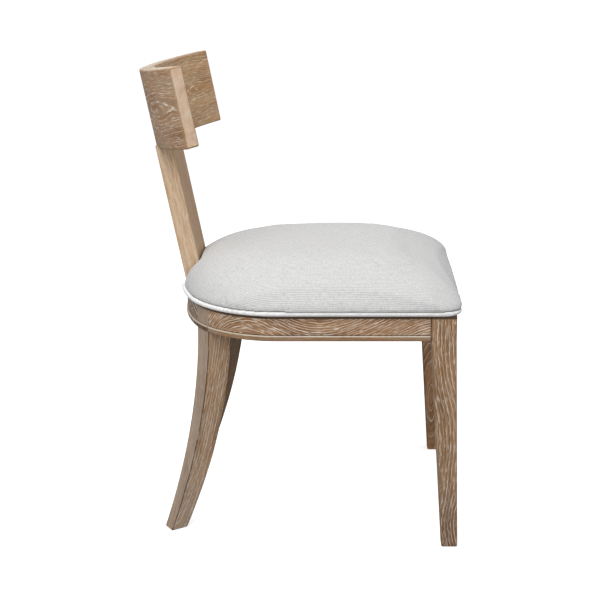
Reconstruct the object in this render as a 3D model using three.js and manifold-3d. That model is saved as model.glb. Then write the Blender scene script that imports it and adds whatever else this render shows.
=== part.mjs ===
// Klismos dining chair in limed oak with a fixed upholstered seat.
// Millimetres, +Z up, the sitter faces +X. The finished group stands on z = 0, centred in x and y.
import * as THREE from "three";
import { mergeVertices } from "three/addons/utils/BufferGeometryUtils.js";
import Module from "manifold-3d";

const wasm = await Module();
wasm.setup();

// Seat frame in plan: x = 0 is the front of the front legs, and the back rail's face lies at -frameDepth.
const frameDepth = 495;
const frameHalfWidth = 245.5;
const rearArcRadius = 360;
const cornerArcRadius = 170;
const frameTop = 436;
const railHeight = 46;
const railThickness = 24;
const legProud = 1.5;
const woodGap = 0.3;

// Bead along the lower edge of the rails, drawn as shares of its projection and height.
const beadHeight = 10.4;
const beadProjection = 2;
const beadShares = [[0, 1.12], [-0.6, 1], [0.3, 0.95], [0.85, 0.8], [1, 0.5], [0.8, 0.18], [0.3, 0]];

// Front legs: square, tapered on the rear and inner faces, with the foot a little forward.
const frontLegTop = 44;
const frontLegFoot = 29;
const frontLegLean = 9;
const legArris = 1.5;

// Rear legs: square to the corner of the seat, swept backwards in a sabre curve.
const postAngle = THREE.MathUtils.degToRad(34);
const rearLegTopWidth = 43;
const rearLegFootWidth = 28;
const rearLegTopDepth = 47;
const rearLegFootDepth = 32;
const rearLegSweep = 76;
const sweepPower = 1.8;
const postArris = 0.4;

// Back: a splat raked backwards and a crest that is an arc in plan.
const rake = THREE.MathUtils.degToRad(10.7);
const splatWidth = 107;
const splatThickness = 32;
const splatLength = 270;
const splatInset = 5.3;
const crestRadius = 284;
const crestThickness = 28;
const crestHalfAngle = THREE.MathUtils.degToRad(44.3);
const crestHeight = 139.5;
const crestOverhang = 2;
const crestArris = 1.8;

// Joints: the splat's tenon, dowels and screws.
const tenonWidth = 80;
const tenonThickness = 10;
const tenonDepth = 28;
const tenonInset = 3;
const railDowelRadius = 4;
const railDowelLength = 34;
const railDowelSpacing = 20;
const postDowelDepth = 13;
const postDowelInset = 15;
const crestDowelRadius = 5;
const crestDowelLength = 50;
const crestDowelSpacing = 56;
const dowelChamfer = 0.8;
const holeClearance = 0.3;
const screwRadius = 2.4;
const screwHeadRadius = 4.6;
const screwHeadHeight = 2.8;
const blockScrewLength = 48;
const seatScrewLength = 52;

// Corner blocks.
const blockHeight = 34;
const blockBelowTop = 6;
const frontBlockLeg = 71;
const rearBlockHalfSpan = 58;
const rearBlockThickness = 24;
const seatScrewFromCorner = 33;

// Upholstery: board, foam, woven cover, welt and dust cover.
const boardThickness = 12;
const coverThickness = 1.6;
const coverTurnUnder = 18;
const softGap = 0.5;
const weltRadius = 4.5;
const weltOffset = 5;
const frontCornerRadius = 24;
const cushionFoot = 1.2;
const cushionBulge = 8.6;
const cushionBaseCorner = 46;
const cushionTopCorner = 110;
const crownHeight = 74;
const crownPower = 4.5;
const crownEdgePower = 0.77;
const cornerGrowthShare = 0.25;
const crownShares = [0, 0.012, 0.035, 0.075, 0.13, 0.2, 0.3, 0.43, 0.6, 0.82];
const crownCentreShare = 0.557;
const splatClearance = 1;
const dustCoverThickness = 0.8;
const dustCoverInset = 3;

// Counts of facets.
const arcSteps = 7;
const cornerSteps = 8;
const frontCornerSteps = 5;
const sideSteps = 3;
const crestSteps = 24;
const roundSides = 12;
const weltSides = 8;
const legSteps = 10;
const bisections = 40;
const cutOverrun = 5;

// Sizes that follow from the ones above.
const frameBottom = frameTop - railHeight;
const frontLegOuter = frameHalfWidth + legProud;
const railMiddle = frameBottom + railHeight / 2;
const rearArcCentre = rearArcRadius - frameDepth;
const cornerCentreY = frameHalfWidth - cornerArcRadius;
const cornerAngle = Math.asin(cornerCentreY / (rearArcRadius - cornerArcRadius));
const cornerCentreX = rearArcCentre - (rearArcRadius - cornerArcRadius) * Math.cos(cornerAngle);
const splatFootX = splatInset - frameDepth;
const coverOffset = weltOffset - weltRadius - woodGap;
const coverBottom = frameTop + woodGap;
const boardOffset = coverOffset - coverThickness - woodGap;
const boardBottom = coverBottom + coverThickness + woodGap;
const boardTop = boardBottom + boardThickness;
const weltTop = coverBottom + 2 * weltRadius;
const crownBase = weltTop + cushionFoot;

// One material for each real material.
function finish(name, colour, roughness, metalness = 0) {
  return new THREE.MeshStandardMaterial({ name, color: colour, roughness, metalness });
}

const oak = finish("limed_oak", 0xa68b70, 0.6);
const paleOak = finish("beech_dowel", 0xc9a87c, 0.65);
const plywood = finish("birch_plywood", 0xc8a878, 0.7);
const linen = finish("woven_linen", 0xdcdcda, 0.9);
const weltLinen = finish("linen_welt", 0xe4e4e0, 0.9);
const foam = finish("upholstery_foam", 0xe8dfb8, 0.95);
const cambric = finish("black_cambric", 0x1d1d1f, 0.9);
const steel = finish("zinc_plated_steel", 0x9fa2a5, 0.4, 0.9);

const chair = new THREE.Group();
const rakedBack = new THREE.Group();
rakedBack.position.set(splatFootX, 0, frameTop);
rakedBack.rotation.y = -rake;
chair.add(rakedBack);

function place(name, geometry, material, parent = chair) {
  const mesh = new THREE.Mesh(geometry, material);
  mesh.name = name;
  parent.add(mesh);
  return mesh;
}

// Geometry helpers: lofts, closed solids and cuts.
function signedVolume(positions, index) {
  const a = new THREE.Vector3();
  const b = new THREE.Vector3();
  const c = new THREE.Vector3();
  let volume = 0;
  for (let i = 0; i < index.length; i += 3) {
    a.fromArray(positions, 3 * index[i]);
    b.fromArray(positions, 3 * index[i + 1]);
    c.fromArray(positions, 3 * index[i + 2]);
    volume += a.dot(b.cross(c));
  }
  return volume;
}

function closedGeometry(positions, index) {
  if (signedVolume(positions, index) < 0) {
    index.reverse();
  }
  const geometry = new THREE.BufferGeometry();
  geometry.setAttribute("position", new THREE.Float32BufferAttribute(positions, 3));
  geometry.setIndex(index);
  return geometry;
}

// Rings of equal length joined side by side. Each end is closed by triangles of the flat outline given for it.
function loft(rings, firstCap, lastCap = firstCap) {
  const count = rings[0].length;
  const positions = rings.flat(2);
  const index = [];
  for (let ring = 0; ring < rings.length - 1; ring += 1) {
    for (let i = 0; i < count; i += 1) {
      const here = ring * count + i;
      const next = ring * count + ((i + 1) % count);
      index.push(here, next, next + count);
      index.push(here, next + count, here + count);
    }
  }
  const last = (rings.length - 1) * count;
  capTriangles(firstCap).forEach(([a, b, c]) => index.push(c, b, a));
  capTriangles(lastCap).forEach(([a, b, c]) => index.push(last + a, last + b, last + c));
  return closedGeometry(positions, index);
}

function capTriangles(outline) {
  const flat = outline.map(([x, y]) => new THREE.Vector2(x, y));
  const reversed = THREE.ShapeUtils.isClockWise(flat);
  const triangles = THREE.ShapeUtils.triangulateShape(flat, []);
  return reversed ? triangles.map(([a, b, c]) => [c, b, a]) : triangles;
}

function prism(outline, bottom, top) {
  const rings = [bottom, top].map((z) => outline.map(([x, y]) => [x, y, z]));
  return loft(rings, outline);
}

function toSolid(geometry) {
  const bare = geometry.clone();
  bare.deleteAttribute("normal");
  bare.deleteAttribute("uv");
  const merged = mergeVertices(bare);
  return new wasm.Manifold(new wasm.Mesh({
    numProp: 3,
    vertProperties: new Float32Array(merged.attributes.position.array),
    triVerts: new Uint32Array(merged.index.array),
  }));
}

function fromSolid(solid) {
  const mesh = solid.getMesh();
  const geometry = new THREE.BufferGeometry();
  geometry.setAttribute("position", new THREE.BufferAttribute(mesh.vertProperties, 3));
  geometry.setIndex(new THREE.BufferAttribute(mesh.triVerts, 1));
  return geometry;
}

function cut(geometry, cutters) {
  return fromSolid(cutters.reduce((solid, cutter) => solid.subtract(toSolid(cutter)), toSolid(geometry)));
}

// A round pin, hole or screw starts at a point and runs along a direction.
function along(start, direction) {
  const matrix = new THREE.Matrix4();
  const up = new THREE.Vector3(0, 1, 0);
  const turn = new THREE.Quaternion().setFromUnitVectors(up, direction.clone().normalize());
  return matrix.compose(start, turn, new THREE.Vector3(1, 1, 1));
}

function holeCutter(start, direction, radius, length, before = 0) {
  const geometry = new THREE.CylinderGeometry(radius, radius, length + before, roundSides);
  geometry.translate(0, (length - before) / 2, 0);
  return geometry.applyMatrix4(along(start, direction));
}

function turned(profile) {
  return new THREE.LatheGeometry(profile.map(([radius, height]) => new THREE.Vector2(radius, height)), roundSides);
}

function placeAlong(name, geometry, material, start, direction, parent = chair) {
  const mesh = place(name, geometry, material, parent);
  along(start, direction).decompose(mesh.position, mesh.quaternion, mesh.scale);
  return mesh;
}

// Plan curve of the seat frame on the +Y side. The angle is that of the outward normal, from the back.
function planPoint(angle, offset) {
  if (angle < cornerAngle) {
    const radius = rearArcRadius + offset;
    return [rearArcCentre - radius * Math.cos(angle), radius * Math.sin(angle)];
  }
  const radius = cornerArcRadius + offset;
  return [cornerCentreX - radius * Math.cos(angle), cornerCentreY + radius * Math.sin(angle)];
}

// The rear post's own frame: out is square to its outer face, along runs towards the side rail.
const postCentre = planPoint(postAngle, 0);
const postOut = [-Math.cos(postAngle), Math.sin(postAngle)];
const postAlong = [Math.sin(postAngle), Math.cos(postAngle)];

function postPoint(out, side) {
  return [
    postCentre[0] + out * postOut[0] + side * postAlong[0],
    postCentre[1] + out * postOut[1] + side * postAlong[1],
  ];
}

function alongPost([x, y]) {
  return (x - postCentre[0]) * postAlong[0] + (y - postCentre[1]) * postAlong[1];
}

// Angle at which the plan curve with this offset crosses a plane beside the post.
function angleAtPlane(offset, side) {
  let low = 0;
  let high = Math.PI / 2;
  for (let step = 0; step < bisections; step += 1) {
    const middle = (low + high) / 2;
    if (alongPost(planPoint(middle, offset)) < side) {
      low = middle;
    } else {
      high = middle;
    }
  }
  return low;
}

function mirrored(point, side) {
  return [point[0], side * point[1]];
}

// Rail section: offset from the frame's outline and height, with the bead at the lower outer edge.
const beadProfile = beadShares.map(([out, up]) => [out * beadProjection, frameBottom + up * beadHeight]);
const railSection = [
  [-railThickness, frameBottom],
  [-railThickness, frameTop],
  [0, frameTop],
  ...beadProfile,
];

function sweepRail(stations) {
  const rings = stations.map((station) => railSection.map(([offset, z]) => [...station(offset), z]));
  return loft(rings, railSection);
}

function steps(from, to, count) {
  return Array.from({ length: count + 1 }, (_, i) => from + ((to - from) * i) / count);
}

// Stations round a curved stretch that ends flat against the post's side plane.
function curvedStations(side, endPlane, towards, count) {
  return steps(0, 1, count).map((share) => (offset) => {
    const start = angleAtPlane(offset, endPlane);
    return mirrored(planPoint(start + (towards - start) * share, offset), side);
  });
}

// Dowels between rails and legs, and the holes for them.
const dowelHeights = [railMiddle - railDowelSpacing / 2, railMiddle + railDowelSpacing / 2];
const railDepthMiddle = railThickness / 2;
const postPlane = rearLegTopWidth / 2;

function dowelSites(side) {
  const rail = new THREE.Vector2(-legProud - railDepthMiddle, frameHalfWidth - railDepthMiddle);
  const post = planPoint(postAngle, -postDowelInset);
  const postDirection = new THREE.Vector3(postAlong[0], side * postAlong[1], 0);
  const postOffset = postPlane - postDowelDepth;
  const innerFace = frontLegOuter - frontLegTop;
  const half = railDowelLength / 2;
  return {
    front: [rail.x, side * (innerFace - half), new THREE.Vector3(0, side, 0)],
    side: [-frontLegTop - half, side * rail.y, new THREE.Vector3(1, 0, 0)],
    post_side: [
      post[0] + postOffset * postAlong[0],
      side * (post[1] + postOffset * postAlong[1]),
      postDirection,
    ],
    post_back: [
      post[0] - postOffset * postAlong[0],
      side * (post[1] - postOffset * postAlong[1]),
      postDirection.clone().negate(),
    ],
  };
}

function dowelHoles(side, joints) {
  const sites = dowelSites(side);
  return joints.flatMap((joint) => {
    const [x, y, direction] = sites[joint];
    return dowelHeights.map((z) => holeCutter(
      new THREE.Vector3(x, y, z),
      direction,
      railDowelRadius + holeClearance,
      railDowelLength + woodGap,
      woodGap,
    ));
  });
}

function dowelGeometry(radius, length) {
  return turned([
    [0, 0],
    [radius - dowelChamfer, 0],
    [radius, dowelChamfer],
    [radius, length - dowelChamfer],
    [radius - dowelChamfer, length],
    [0, length],
  ]);
}

function addRailDowels(side, sideName) {
  const geometry = dowelGeometry(railDowelRadius, railDowelLength);
  Object.entries(dowelSites(side)).forEach(([joint, [x, y, direction]]) => {
    dowelHeights.forEach((z, i) => {
      const name = `dowel_${joint}_${sideName}_${i + 1}`;
      placeAlong(name, geometry, paleOak, new THREE.Vector3(x, y, z), direction);
    });
  });
}

// Corner blocks and their screws.
const blockTop = frameTop - blockBelowTop;
const blockBottom = blockTop - blockHeight;
const blockMiddle = (blockTop + blockBottom) / 2;
const frontInner = [-frontLegTop, frontLegOuter - frontLegTop];
const railInner = [-legProud - railThickness, frameHalfWidth - railThickness];
const postInner = -rearLegTopDepth;

function frontBlockOutline() {
  const [railX, railY] = [railInner[0] - woodGap, railInner[1] - woodGap];
  const [legX, legY] = [frontInner[0] - woodGap, frontInner[1] - woodGap];
  return [
    [railX, railY - frontBlockLeg],
    [railX, legY],
    [legX, legY],
    [legX, railY],
    [railX - frontBlockLeg, railY],
  ];
}

function rearBlockOutline() {
  const offset = -railThickness - woodGap;
  const notch = postPlane + woodGap;
  const inner = postInner - woodGap - rearBlockThickness;
  const reach = [notch, (notch + rearBlockHalfSpan) / 2, rearBlockHalfSpan];
  const onRail = (side) => planPoint(angleAtPlane(offset, side), offset);
  return [
    postPoint(inner, -rearBlockHalfSpan),
    ...reach.toReversed().map((side) => onRail(-side)),
    postPoint(postInner - woodGap, -notch),
    postPoint(postInner - woodGap, notch),
    ...reach.map((side) => onRail(side)),
    postPoint(inner, rearBlockHalfSpan),
  ];
}

// Where the block screw starts on the block's face, and which way it runs, on the +Y side.
function frontBlockScrew() {
  const [first, , notch] = frontBlockOutline();
  const depth = (notch[0] + notch[1] - first[0] - first[1]) / 2;
  return { start: [notch[0] - depth, notch[1] - depth], out: [Math.SQRT1_2, Math.SQRT1_2] };
}

function rearBlockScrew() {
  return { start: postPoint(postInner - woodGap - rearBlockThickness, 0), out: postOut };
}

function seatScrewPlaces() {
  const [railX, railY] = railInner;
  const middle = (postInner - rearBlockThickness - railThickness) / 2;
  return {
    front: [railX - frontBlockLeg / 6, railY - frontBlockLeg + seatScrewFromCorner],
    rear: postPoint(middle, -seatScrewFromCorner),
  };
}

const blockKinds = {
  front: { outline: frontBlockOutline(), screw: frontBlockScrew(), seat: seatScrewPlaces().front },
  rear: { outline: rearBlockOutline(), screw: rearBlockScrew(), seat: seatScrewPlaces().rear },
};

function blockScrewHole(kind, side) {
  const { start, out } = blockKinds[kind].screw;
  return holeCutter(
    new THREE.Vector3(start[0], side * start[1], blockMiddle),
    new THREE.Vector3(out[0], side * out[1], 0),
    screwRadius + holeClearance,
    blockScrewLength + woodGap,
    cutOverrun,
  );
}

function seatScrewHole(kind, side) {
  const [x, y] = blockKinds[kind].seat;
  return holeCutter(
    new THREE.Vector3(x, side * y, blockBottom),
    new THREE.Vector3(0, 0, 1),
    screwRadius + holeClearance,
    seatScrewLength + woodGap,
    cutOverrun,
  );
}

function screwGeometry(length) {
  return turned([
    [0, -screwHeadHeight],
    [screwHeadRadius * 0.7, -screwHeadHeight],
    [screwHeadRadius, -screwHeadHeight / 2],
    [screwHeadRadius, -woodGap],
    [screwRadius, -woodGap],
    [screwRadius, length - 2 * screwRadius],
    [0, length],
  ]);
}

function addBlocks(side, sideName) {
  Object.entries(blockKinds).forEach(([kind, { outline, screw, seat }]) => {
    const plan = outline.map((point) => mirrored(point, side));
    const holes = [blockScrewHole(kind, side), seatScrewHole(kind, side)];
    const end = `${kind}_${sideName}`;
    place(`corner_block_${end}`, cut(prism(plan, blockBottom, blockTop), holes), paleOak);
    const blockStart = new THREE.Vector3(screw.start[0], side * screw.start[1], blockMiddle);
    const blockDirection = new THREE.Vector3(screw.out[0], side * screw.out[1], 0);
    placeAlong(`block_screw_${end}`, screwGeometry(blockScrewLength), steel, blockStart, blockDirection);
    const seatStart = new THREE.Vector3(seat[0], side * seat[1], blockBottom);
    const upwards = new THREE.Vector3(0, 0, 1);
    placeAlong(`seat_screw_${end}`, screwGeometry(seatScrewLength), steel, seatStart, upwards);
  });
}

// A square with softened corners, from its corner with the lowest x and y.
function softSquare(x0, x1, y0, y1, arris) {
  const inner = arris * 0.3;
  return [
    [x0, y0 + arris], [x0 + inner, y0 + inner], [x0 + arris, y0],
    [x1 - arris, y0], [x1 - inner, y0 + inner], [x1, y0 + arris],
    [x1, y1 - arris], [x1 - inner, y1 - inner], [x1 - arris, y1],
    [x0 + arris, y1], [x0 + inner, y1 - inner], [x0, y1 - arris],
  ];
}

function frontLegRing(z, inset, side) {
  const share = Math.max(0, 1 - z / frameBottom);
  const size = frontLegTop + (frontLegFoot - frontLegTop) * share;
  const front = frontLegLean * share - inset;
  const outer = frontLegOuter - inset;
  const ring = softSquare(front - size + 2 * inset, front, outer - size + 2 * inset, outer, legArris);
  return ring.map(([x, y]) => [x, side * y, z]);
}

function frontLeg(side) {
  const rings = [
    frontLegRing(0, legArris, side),
    frontLegRing(legArris, 0, side),
    frontLegRing(frameBottom, 0, side),
    frontLegRing(frameTop, 0, side),
  ];
  const leg = loft(rings, rings[0], rings[3]);
  return cut(leg, [...dowelHoles(side, ["front", "side"]), blockScrewHole("front", side)]);
}

// One level of the rear leg: its outer face follows the frame's curve at the post and is flat at the foot.
function rearLegRing(z, beadOut, inset, side) {
  const share = Math.max(0, 1 - z / frameBottom);
  const width = rearLegTopWidth + (rearLegFootWidth - rearLegTopWidth) * share - 2 * inset;
  const depth = rearLegTopDepth + (rearLegFootDepth - rearLegTopDepth) * share ** 2 - inset;
  const arris = share > 0 ? legArris : postArris;
  const sweep = rearLegSweep * share ** sweepPower;
  const half = width / 2;
  const face = [-half + arris, -half / 2, 0, half / 2, half - arris].map((across) => {
    const sag = cornerArcRadius - Math.sqrt(cornerArcRadius ** 2 - across ** 2);
    return [beadOut - inset - sag * (1 - share), across];
  });
  const edge = face[0][0] - arris;
  const back = -depth;
  const outline = [
    [edge, -half],
    ...face,
    [edge, half],
    [back + arris, half],
    [back, half - arris],
    [back, -half + arris],
    [back + arris, -half],
  ];
  return outline.map(([out, across]) => {
    const [x, y] = postPoint(out, across);
    return [x - sweep, side * y, z];
  });
}

function rearLeg(side) {
  const legLevels = steps(frameBottom - legArris, legArris, legSteps);
  const rings = [
    rearLegRing(0, 0, legArris, side),
    ...legLevels.toReversed().map((z) => rearLegRing(z, 0, 0, side)),
    ...beadProfile.toReversed().map(([out, z]) => rearLegRing(z, out, 0, side)),
    rearLegRing(frameTop, 0, 0, side),
  ];
  const leg = loft(rings, rings[0], rings[rings.length - 1]);
  return cut(leg, [...dowelHoles(side, ["post_side", "post_back"]), blockScrewHole("rear", side)]);
}

function sideRail(side) {
  const straightEnd = -frontLegTop - woodGap;
  const stations = [
    ...curvedStations(side, postPlane + woodGap, Math.PI / 2, cornerSteps),
    (offset) => [straightEnd, side * (frameHalfWidth + offset)],
  ];
  return cut(sweepRail(stations), dowelHoles(side, ["side", "post_side"]));
}

function frontRail() {
  const end = frontLegOuter - frontLegTop - woodGap;
  const stations = [-end, end].map((y) => (offset) => [offset - legProud, y]);
  return cut(sweepRail(stations), [...dowelHoles(1, ["front"]), ...dowelHoles(-1, ["front"])]);
}

// Back rail: swept from post to post, with the mortise for the splat.
function backRail() {
  const endPlane = -postPlane - woodGap;
  const left = curvedStations(1, endPlane, 0, arcSteps);
  const right = curvedStations(-1, endPlane, 0, arcSteps).toReversed();
  const stations = [...left, ...right.slice(1)];
  const mortise = tenonBox(woodGap, cutOverrun);
  const holes = [...dowelHoles(1, ["post_back"]), ...dowelHoles(-1, ["post_back"])];
  return cut(sweepRail(stations), [mortise, ...holes]);
}

// The tenon under the splat, or with a clearance the mortise for it.
function tenonBox(clearance, above) {
  const x0 = splatFootX + tenonInset - clearance;
  const x1 = splatFootX + tenonInset + tenonThickness + clearance;
  const y = tenonWidth / 2 + clearance;
  const outline = [[x0, -y], [x1, -y], [x1, y], [x0, y]];
  return prism(outline, frameTop - tenonDepth - clearance, frameTop + above);
}

// In the raked frame x runs forwards from the splat's rear face and z runs up along it.
function crestDowelStarts() {
  const x = crestThickness / 2 - crestOverhang;
  const z = splatLength - crestDowelLength / 2;
  return [-1, 1].map((side) => new THREE.Vector3(x, (side * crestDowelSpacing) / 2, z));
}

function crestDowelHoles() {
  const up = new THREE.Vector3(0, 0, 1);
  const radius = crestDowelRadius + holeClearance;
  const length = crestDowelLength + woodGap;
  return crestDowelStarts().map((start) => holeCutter(start, up, radius, length, woodGap));
}

function splat() {
  const foot = (x) => (woodGap - x * Math.sin(rake)) / Math.cos(rake);
  const side = [
    [0, foot(0)],
    [0, splatLength],
    [splatThickness, splatLength],
    [splatThickness, foot(splatThickness)],
  ];
  const half = splatWidth / 2;
  const rings = [-half, half].map((y) => side.map(([x, z]) => [x, y, z]));
  const board = toSolid(loft(rings, side));
  const intoBoard = 2 * tenonInset;
  const tenon = tenonBox(0, intoBoard).translate(-splatFootX, 0, -frameTop).rotateY(rake);
  return cut(fromSolid(board.add(toSolid(tenon))), crestDowelHoles());
}

function crestRail() {
  const bottom = splatLength + woodGap;
  const section = softSquare(-crestThickness, 0, bottom, bottom + crestHeight, crestArris);
  const centre = crestRadius - crestOverhang;
  const rings = steps(-crestHalfAngle, crestHalfAngle, crestSteps).map((angle) => section.map(([offset, z]) => {
    const radius = crestRadius + offset;
    return [centre - radius * Math.cos(angle), radius * Math.sin(angle), z];
  }));
  return cut(loft(rings, section), crestDowelHoles());
}

// Outline of the seat upholstery, a full loop from the middle of the back.
function seatOutline(offset, cornerRadius) {
  const half = seatHalfOutline(offset, cornerRadius, 0);
  const far = half.slice(1, -1).toReversed().map((point) => mirrored(point, -1));
  return [...half, ...far];
}

// Half of that outline on the +Y side, from a given angle at the back to the middle of the front.
function seatHalfOutline(offset, cornerRadius, startAngle) {
  const front = offset - cornerRadius;
  const side = frameHalfWidth + offset - cornerRadius;
  const frontArc = steps(Math.PI / 2, 0, frontCornerSteps).map((angle) => [
    front + cornerRadius * Math.cos(angle),
    side + cornerRadius * Math.sin(angle),
  ]);
  return [
    ...steps(startAngle, cornerAngle, arcSteps).slice(0, -1).map((angle) => planPoint(angle, offset)),
    ...steps(cornerAngle, Math.PI / 2, cornerSteps).map((angle) => planPoint(angle, offset)),
    ...steps(cornerCentreX, front, sideSteps).slice(1, -1).map((x) => [x, frameHalfWidth + offset]),
    ...frontArc,
    [offset, side / 2],
    [offset, 0],
  ];
}

// The crown: rings that shrink towards the seat's middle while they rise and their corners grow.
function crownRing(share, offset, height) {
  const growth = Math.min(1, share / cornerGrowthShare);
  const corner = cushionBaseCorner + (cushionTopCorner - cushionBaseCorner) * growth;
  const centre = -frameDepth * crownCentreShare;
  const rise = height * (1 - (1 - share) ** crownPower) ** crownEdgePower;
  return seatOutline(offset, corner).map(([x, y]) => [
    centre + (x - centre) * (1 - share),
    y * (1 - share),
    crownBase + rise,
  ]);
}

function flatRing(offset, z) {
  return seatOutline(offset, frontCornerRadius + offset).map(([x, y]) => [x, y, z]);
}

// Room for the splat at the back of the upholstery, open to the rear.
function splatNotch() {
  const half = splatWidth / 2 + splatClearance;
  const front = splatThickness + splatClearance;
  const outline = [[-frameDepth, -half], [front, -half], [front, half], [-frameDepth, half]];
  const cutter = prism(outline, -cutOverrun * cutOverrun, splatLength);
  return cutter.rotateY(-rake).translate(splatFootX, 0, frameTop);
}

function seatCover() {
  const innerBulge = cushionBulge - coverThickness;
  const innerHeight = crownHeight - coverThickness;
  const innerSide = coverOffset - coverThickness;
  const outer = crownShares.toReversed().map((share) => crownRing(share, cushionBulge, crownHeight));
  const inner = crownShares.map((share) => crownRing(share, innerBulge, innerHeight));
  const rings = [
    ...outer,
    flatRing(coverOffset, weltTop),
    flatRing(coverOffset, coverBottom),
    flatRing(-coverTurnUnder, coverBottom),
    flatRing(-coverTurnUnder, coverBottom + coverThickness),
    flatRing(innerSide, coverBottom + coverThickness),
    flatRing(innerSide, weltTop),
    ...inner,
  ];
  return cut(loft(rings, outer[0], inner[inner.length - 1]), [splatNotch()]);
}

function foamPad() {
  const offset = cushionBulge - coverThickness - softGap;
  const height = crownHeight - coverThickness - softGap;
  const lift = (boardTop + woodGap - crownBase) / height;
  const lowest = 1 - (1 - lift ** (1 / crownEdgePower)) ** (1 / crownPower);
  const shares = [lowest, ...crownShares.filter((share) => share > lowest)];
  const rings = shares.map((share) => crownRing(share, offset, height));
  return cut(loft(rings, rings[0], rings[rings.length - 1]), [splatNotch()]);
}

function seatScrewHoles() {
  return [1, -1].flatMap((side) => ["front", "rear"].map((kind) => seatScrewHole(kind, side)));
}

function seatBoard() {
  const outline = seatOutline(boardOffset, cushionBaseCorner);
  return cut(prism(outline, boardBottom, boardTop), [splatNotch(), ...seatScrewHoles()]);
}

function dustCover() {
  const offset = -railThickness - dustCoverInset;
  const outline = seatOutline(offset, frontCornerRadius);
  const top = boardBottom - woodGap;
  return cut(prism(outline, top - dustCoverThickness, top), [splatNotch(), ...seatScrewHoles()]);
}

// Piping round the foot of the cushion, from one side of the splat to the other.
function seatWelt() {
  const start = Math.asin((splatWidth / 2 + splatClearance) / (rearArcRadius + weltOffset));
  const circle = steps(0, 2 * Math.PI, weltSides).slice(1).map((angle) => [
    weltRadius * Math.cos(angle),
    coverBottom + weltRadius + weltRadius * Math.sin(angle),
  ]);
  const loops = circle.map(([out]) => {
    const offset = weltOffset + out;
    const half = seatHalfOutline(offset, frontCornerRadius + offset, start);
    return [...half, ...half.slice(0, -1).toReversed().map((point) => mirrored(point, -1))];
  });
  const rings = loops[0].map((_, station) => circle.map(([, z], i) => [...loops[i][station], z]));
  return loft(rings, circle);
}

[[-1, "right"], [1, "left"]].forEach(([side, sideName]) => {
  place(`front_leg_${sideName}`, frontLeg(side), oak);
  place(`rear_leg_${sideName}`, rearLeg(side), oak);
  place(`side_rail_${sideName}`, sideRail(side), oak);
  addRailDowels(side, sideName);
  addBlocks(side, sideName);
});
place("front_rail", frontRail(), oak);
place("back_rail", backRail(), oak);
place("splat", splat(), oak, rakedBack);
place("crest_rail", crestRail(), oak, rakedBack);
crestDowelStarts().forEach((start, i) => {
  const geometry = dowelGeometry(crestDowelRadius, crestDowelLength);
  const up = new THREE.Vector3(0, 0, 1);
  placeAlong(`crest_dowel_${i + 1}`, geometry, paleOak, start, up, rakedBack);
});
place("seat_board", seatBoard(), plywood);
place("foam_pad", foamPad(), foam);
place("seat_cover", seatCover(), linen);
place("seat_welt", seatWelt(), weltLinen);
place("dust_cover", dustCover(), cambric);

// The origin is on the floor under the middle of the chair.
chair.updateMatrixWorld(true);
const bounds = new THREE.Box3().setFromObject(chair, true);
chair.position.x = -(bounds.min.x + bounds.max.x) / 2;

export default chair;
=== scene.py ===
import math

import bmesh
import bpy
import numpy as np
from mathutils import Matrix, Vector, noise


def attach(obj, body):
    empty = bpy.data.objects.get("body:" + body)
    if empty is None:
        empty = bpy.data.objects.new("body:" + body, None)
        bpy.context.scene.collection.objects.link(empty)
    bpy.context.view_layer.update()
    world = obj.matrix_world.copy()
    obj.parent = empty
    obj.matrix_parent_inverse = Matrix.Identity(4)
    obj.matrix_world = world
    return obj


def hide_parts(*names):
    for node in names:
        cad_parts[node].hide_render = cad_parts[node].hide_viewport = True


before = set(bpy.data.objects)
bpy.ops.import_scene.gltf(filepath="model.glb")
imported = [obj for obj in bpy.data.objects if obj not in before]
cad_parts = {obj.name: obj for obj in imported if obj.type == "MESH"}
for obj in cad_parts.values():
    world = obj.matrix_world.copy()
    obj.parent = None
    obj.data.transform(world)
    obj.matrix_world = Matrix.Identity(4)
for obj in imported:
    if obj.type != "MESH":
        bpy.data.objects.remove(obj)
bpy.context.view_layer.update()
scene = bpy.context.scene

# Camera.
# It stands to the chair's right, a little above the crest's top, and looks across the seat and down by about
# fifteen degrees. The small sideways shift gives the chair the place that it has in the picture.
CAMERA_PLACE = (0.1053, -2.3169, 1.0331)
CAMERA_DOWN = 15.35

camera = bpy.data.objects.new("camera", bpy.data.cameras.new("camera"))
camera.data.sensor_width = 36
camera.data.lens = 75
camera.data.shift_x = -0.0945
camera.location = CAMERA_PLACE
camera.rotation_euler = (math.radians(90 - CAMERA_DOWN), 0, 0)
scene.collection.objects.link(camera)
scene.camera = camera
scene.view_settings.view_transform = "Standard"

# Floor and light.
# A plain white floor that keeps the chair's soft shadow, a white room, and two large soft boxes: one high
# beside the camera and one above the seat. Together they light a surface about as strongly as its colour is
# written.
FLOOR_HALF = 40.0
FLOOR_DROP = 0.0002
FLOOR_GLOW = 0.70
ROOM_LIGHT = 0.46


def linear(code):
    """The linear colour of an sRGB hex value, with full alpha."""
    shares = [int(code[i:i + 2], 16) / 255 for i in (1, 3, 5)]
    return [s / 12.92 if s <= 0.04045 else ((s + 0.055) / 1.055) ** 2.4 for s in shares] + [1.0]


def add_node(tree, kind, inputs=None, **settings):
    """Adds a node with its settings. Its inputs take values, hex colours, sockets, or nodes' first outputs."""
    made = tree.nodes.new(kind)
    for name, value in settings.items():
        setattr(made, name, value)
    for name, value in (inputs or {}).items():
        if isinstance(value, bpy.types.Node):
            value = next(socket for socket in value.outputs if socket.enabled)
        elif isinstance(value, str) and value.startswith("#"):
            value = linear(value)
        if isinstance(value, bpy.types.NodeSocket):
            tree.links.new(value, made.inputs[name])
        else:
            made.inputs[name].default_value = value
    return made


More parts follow.
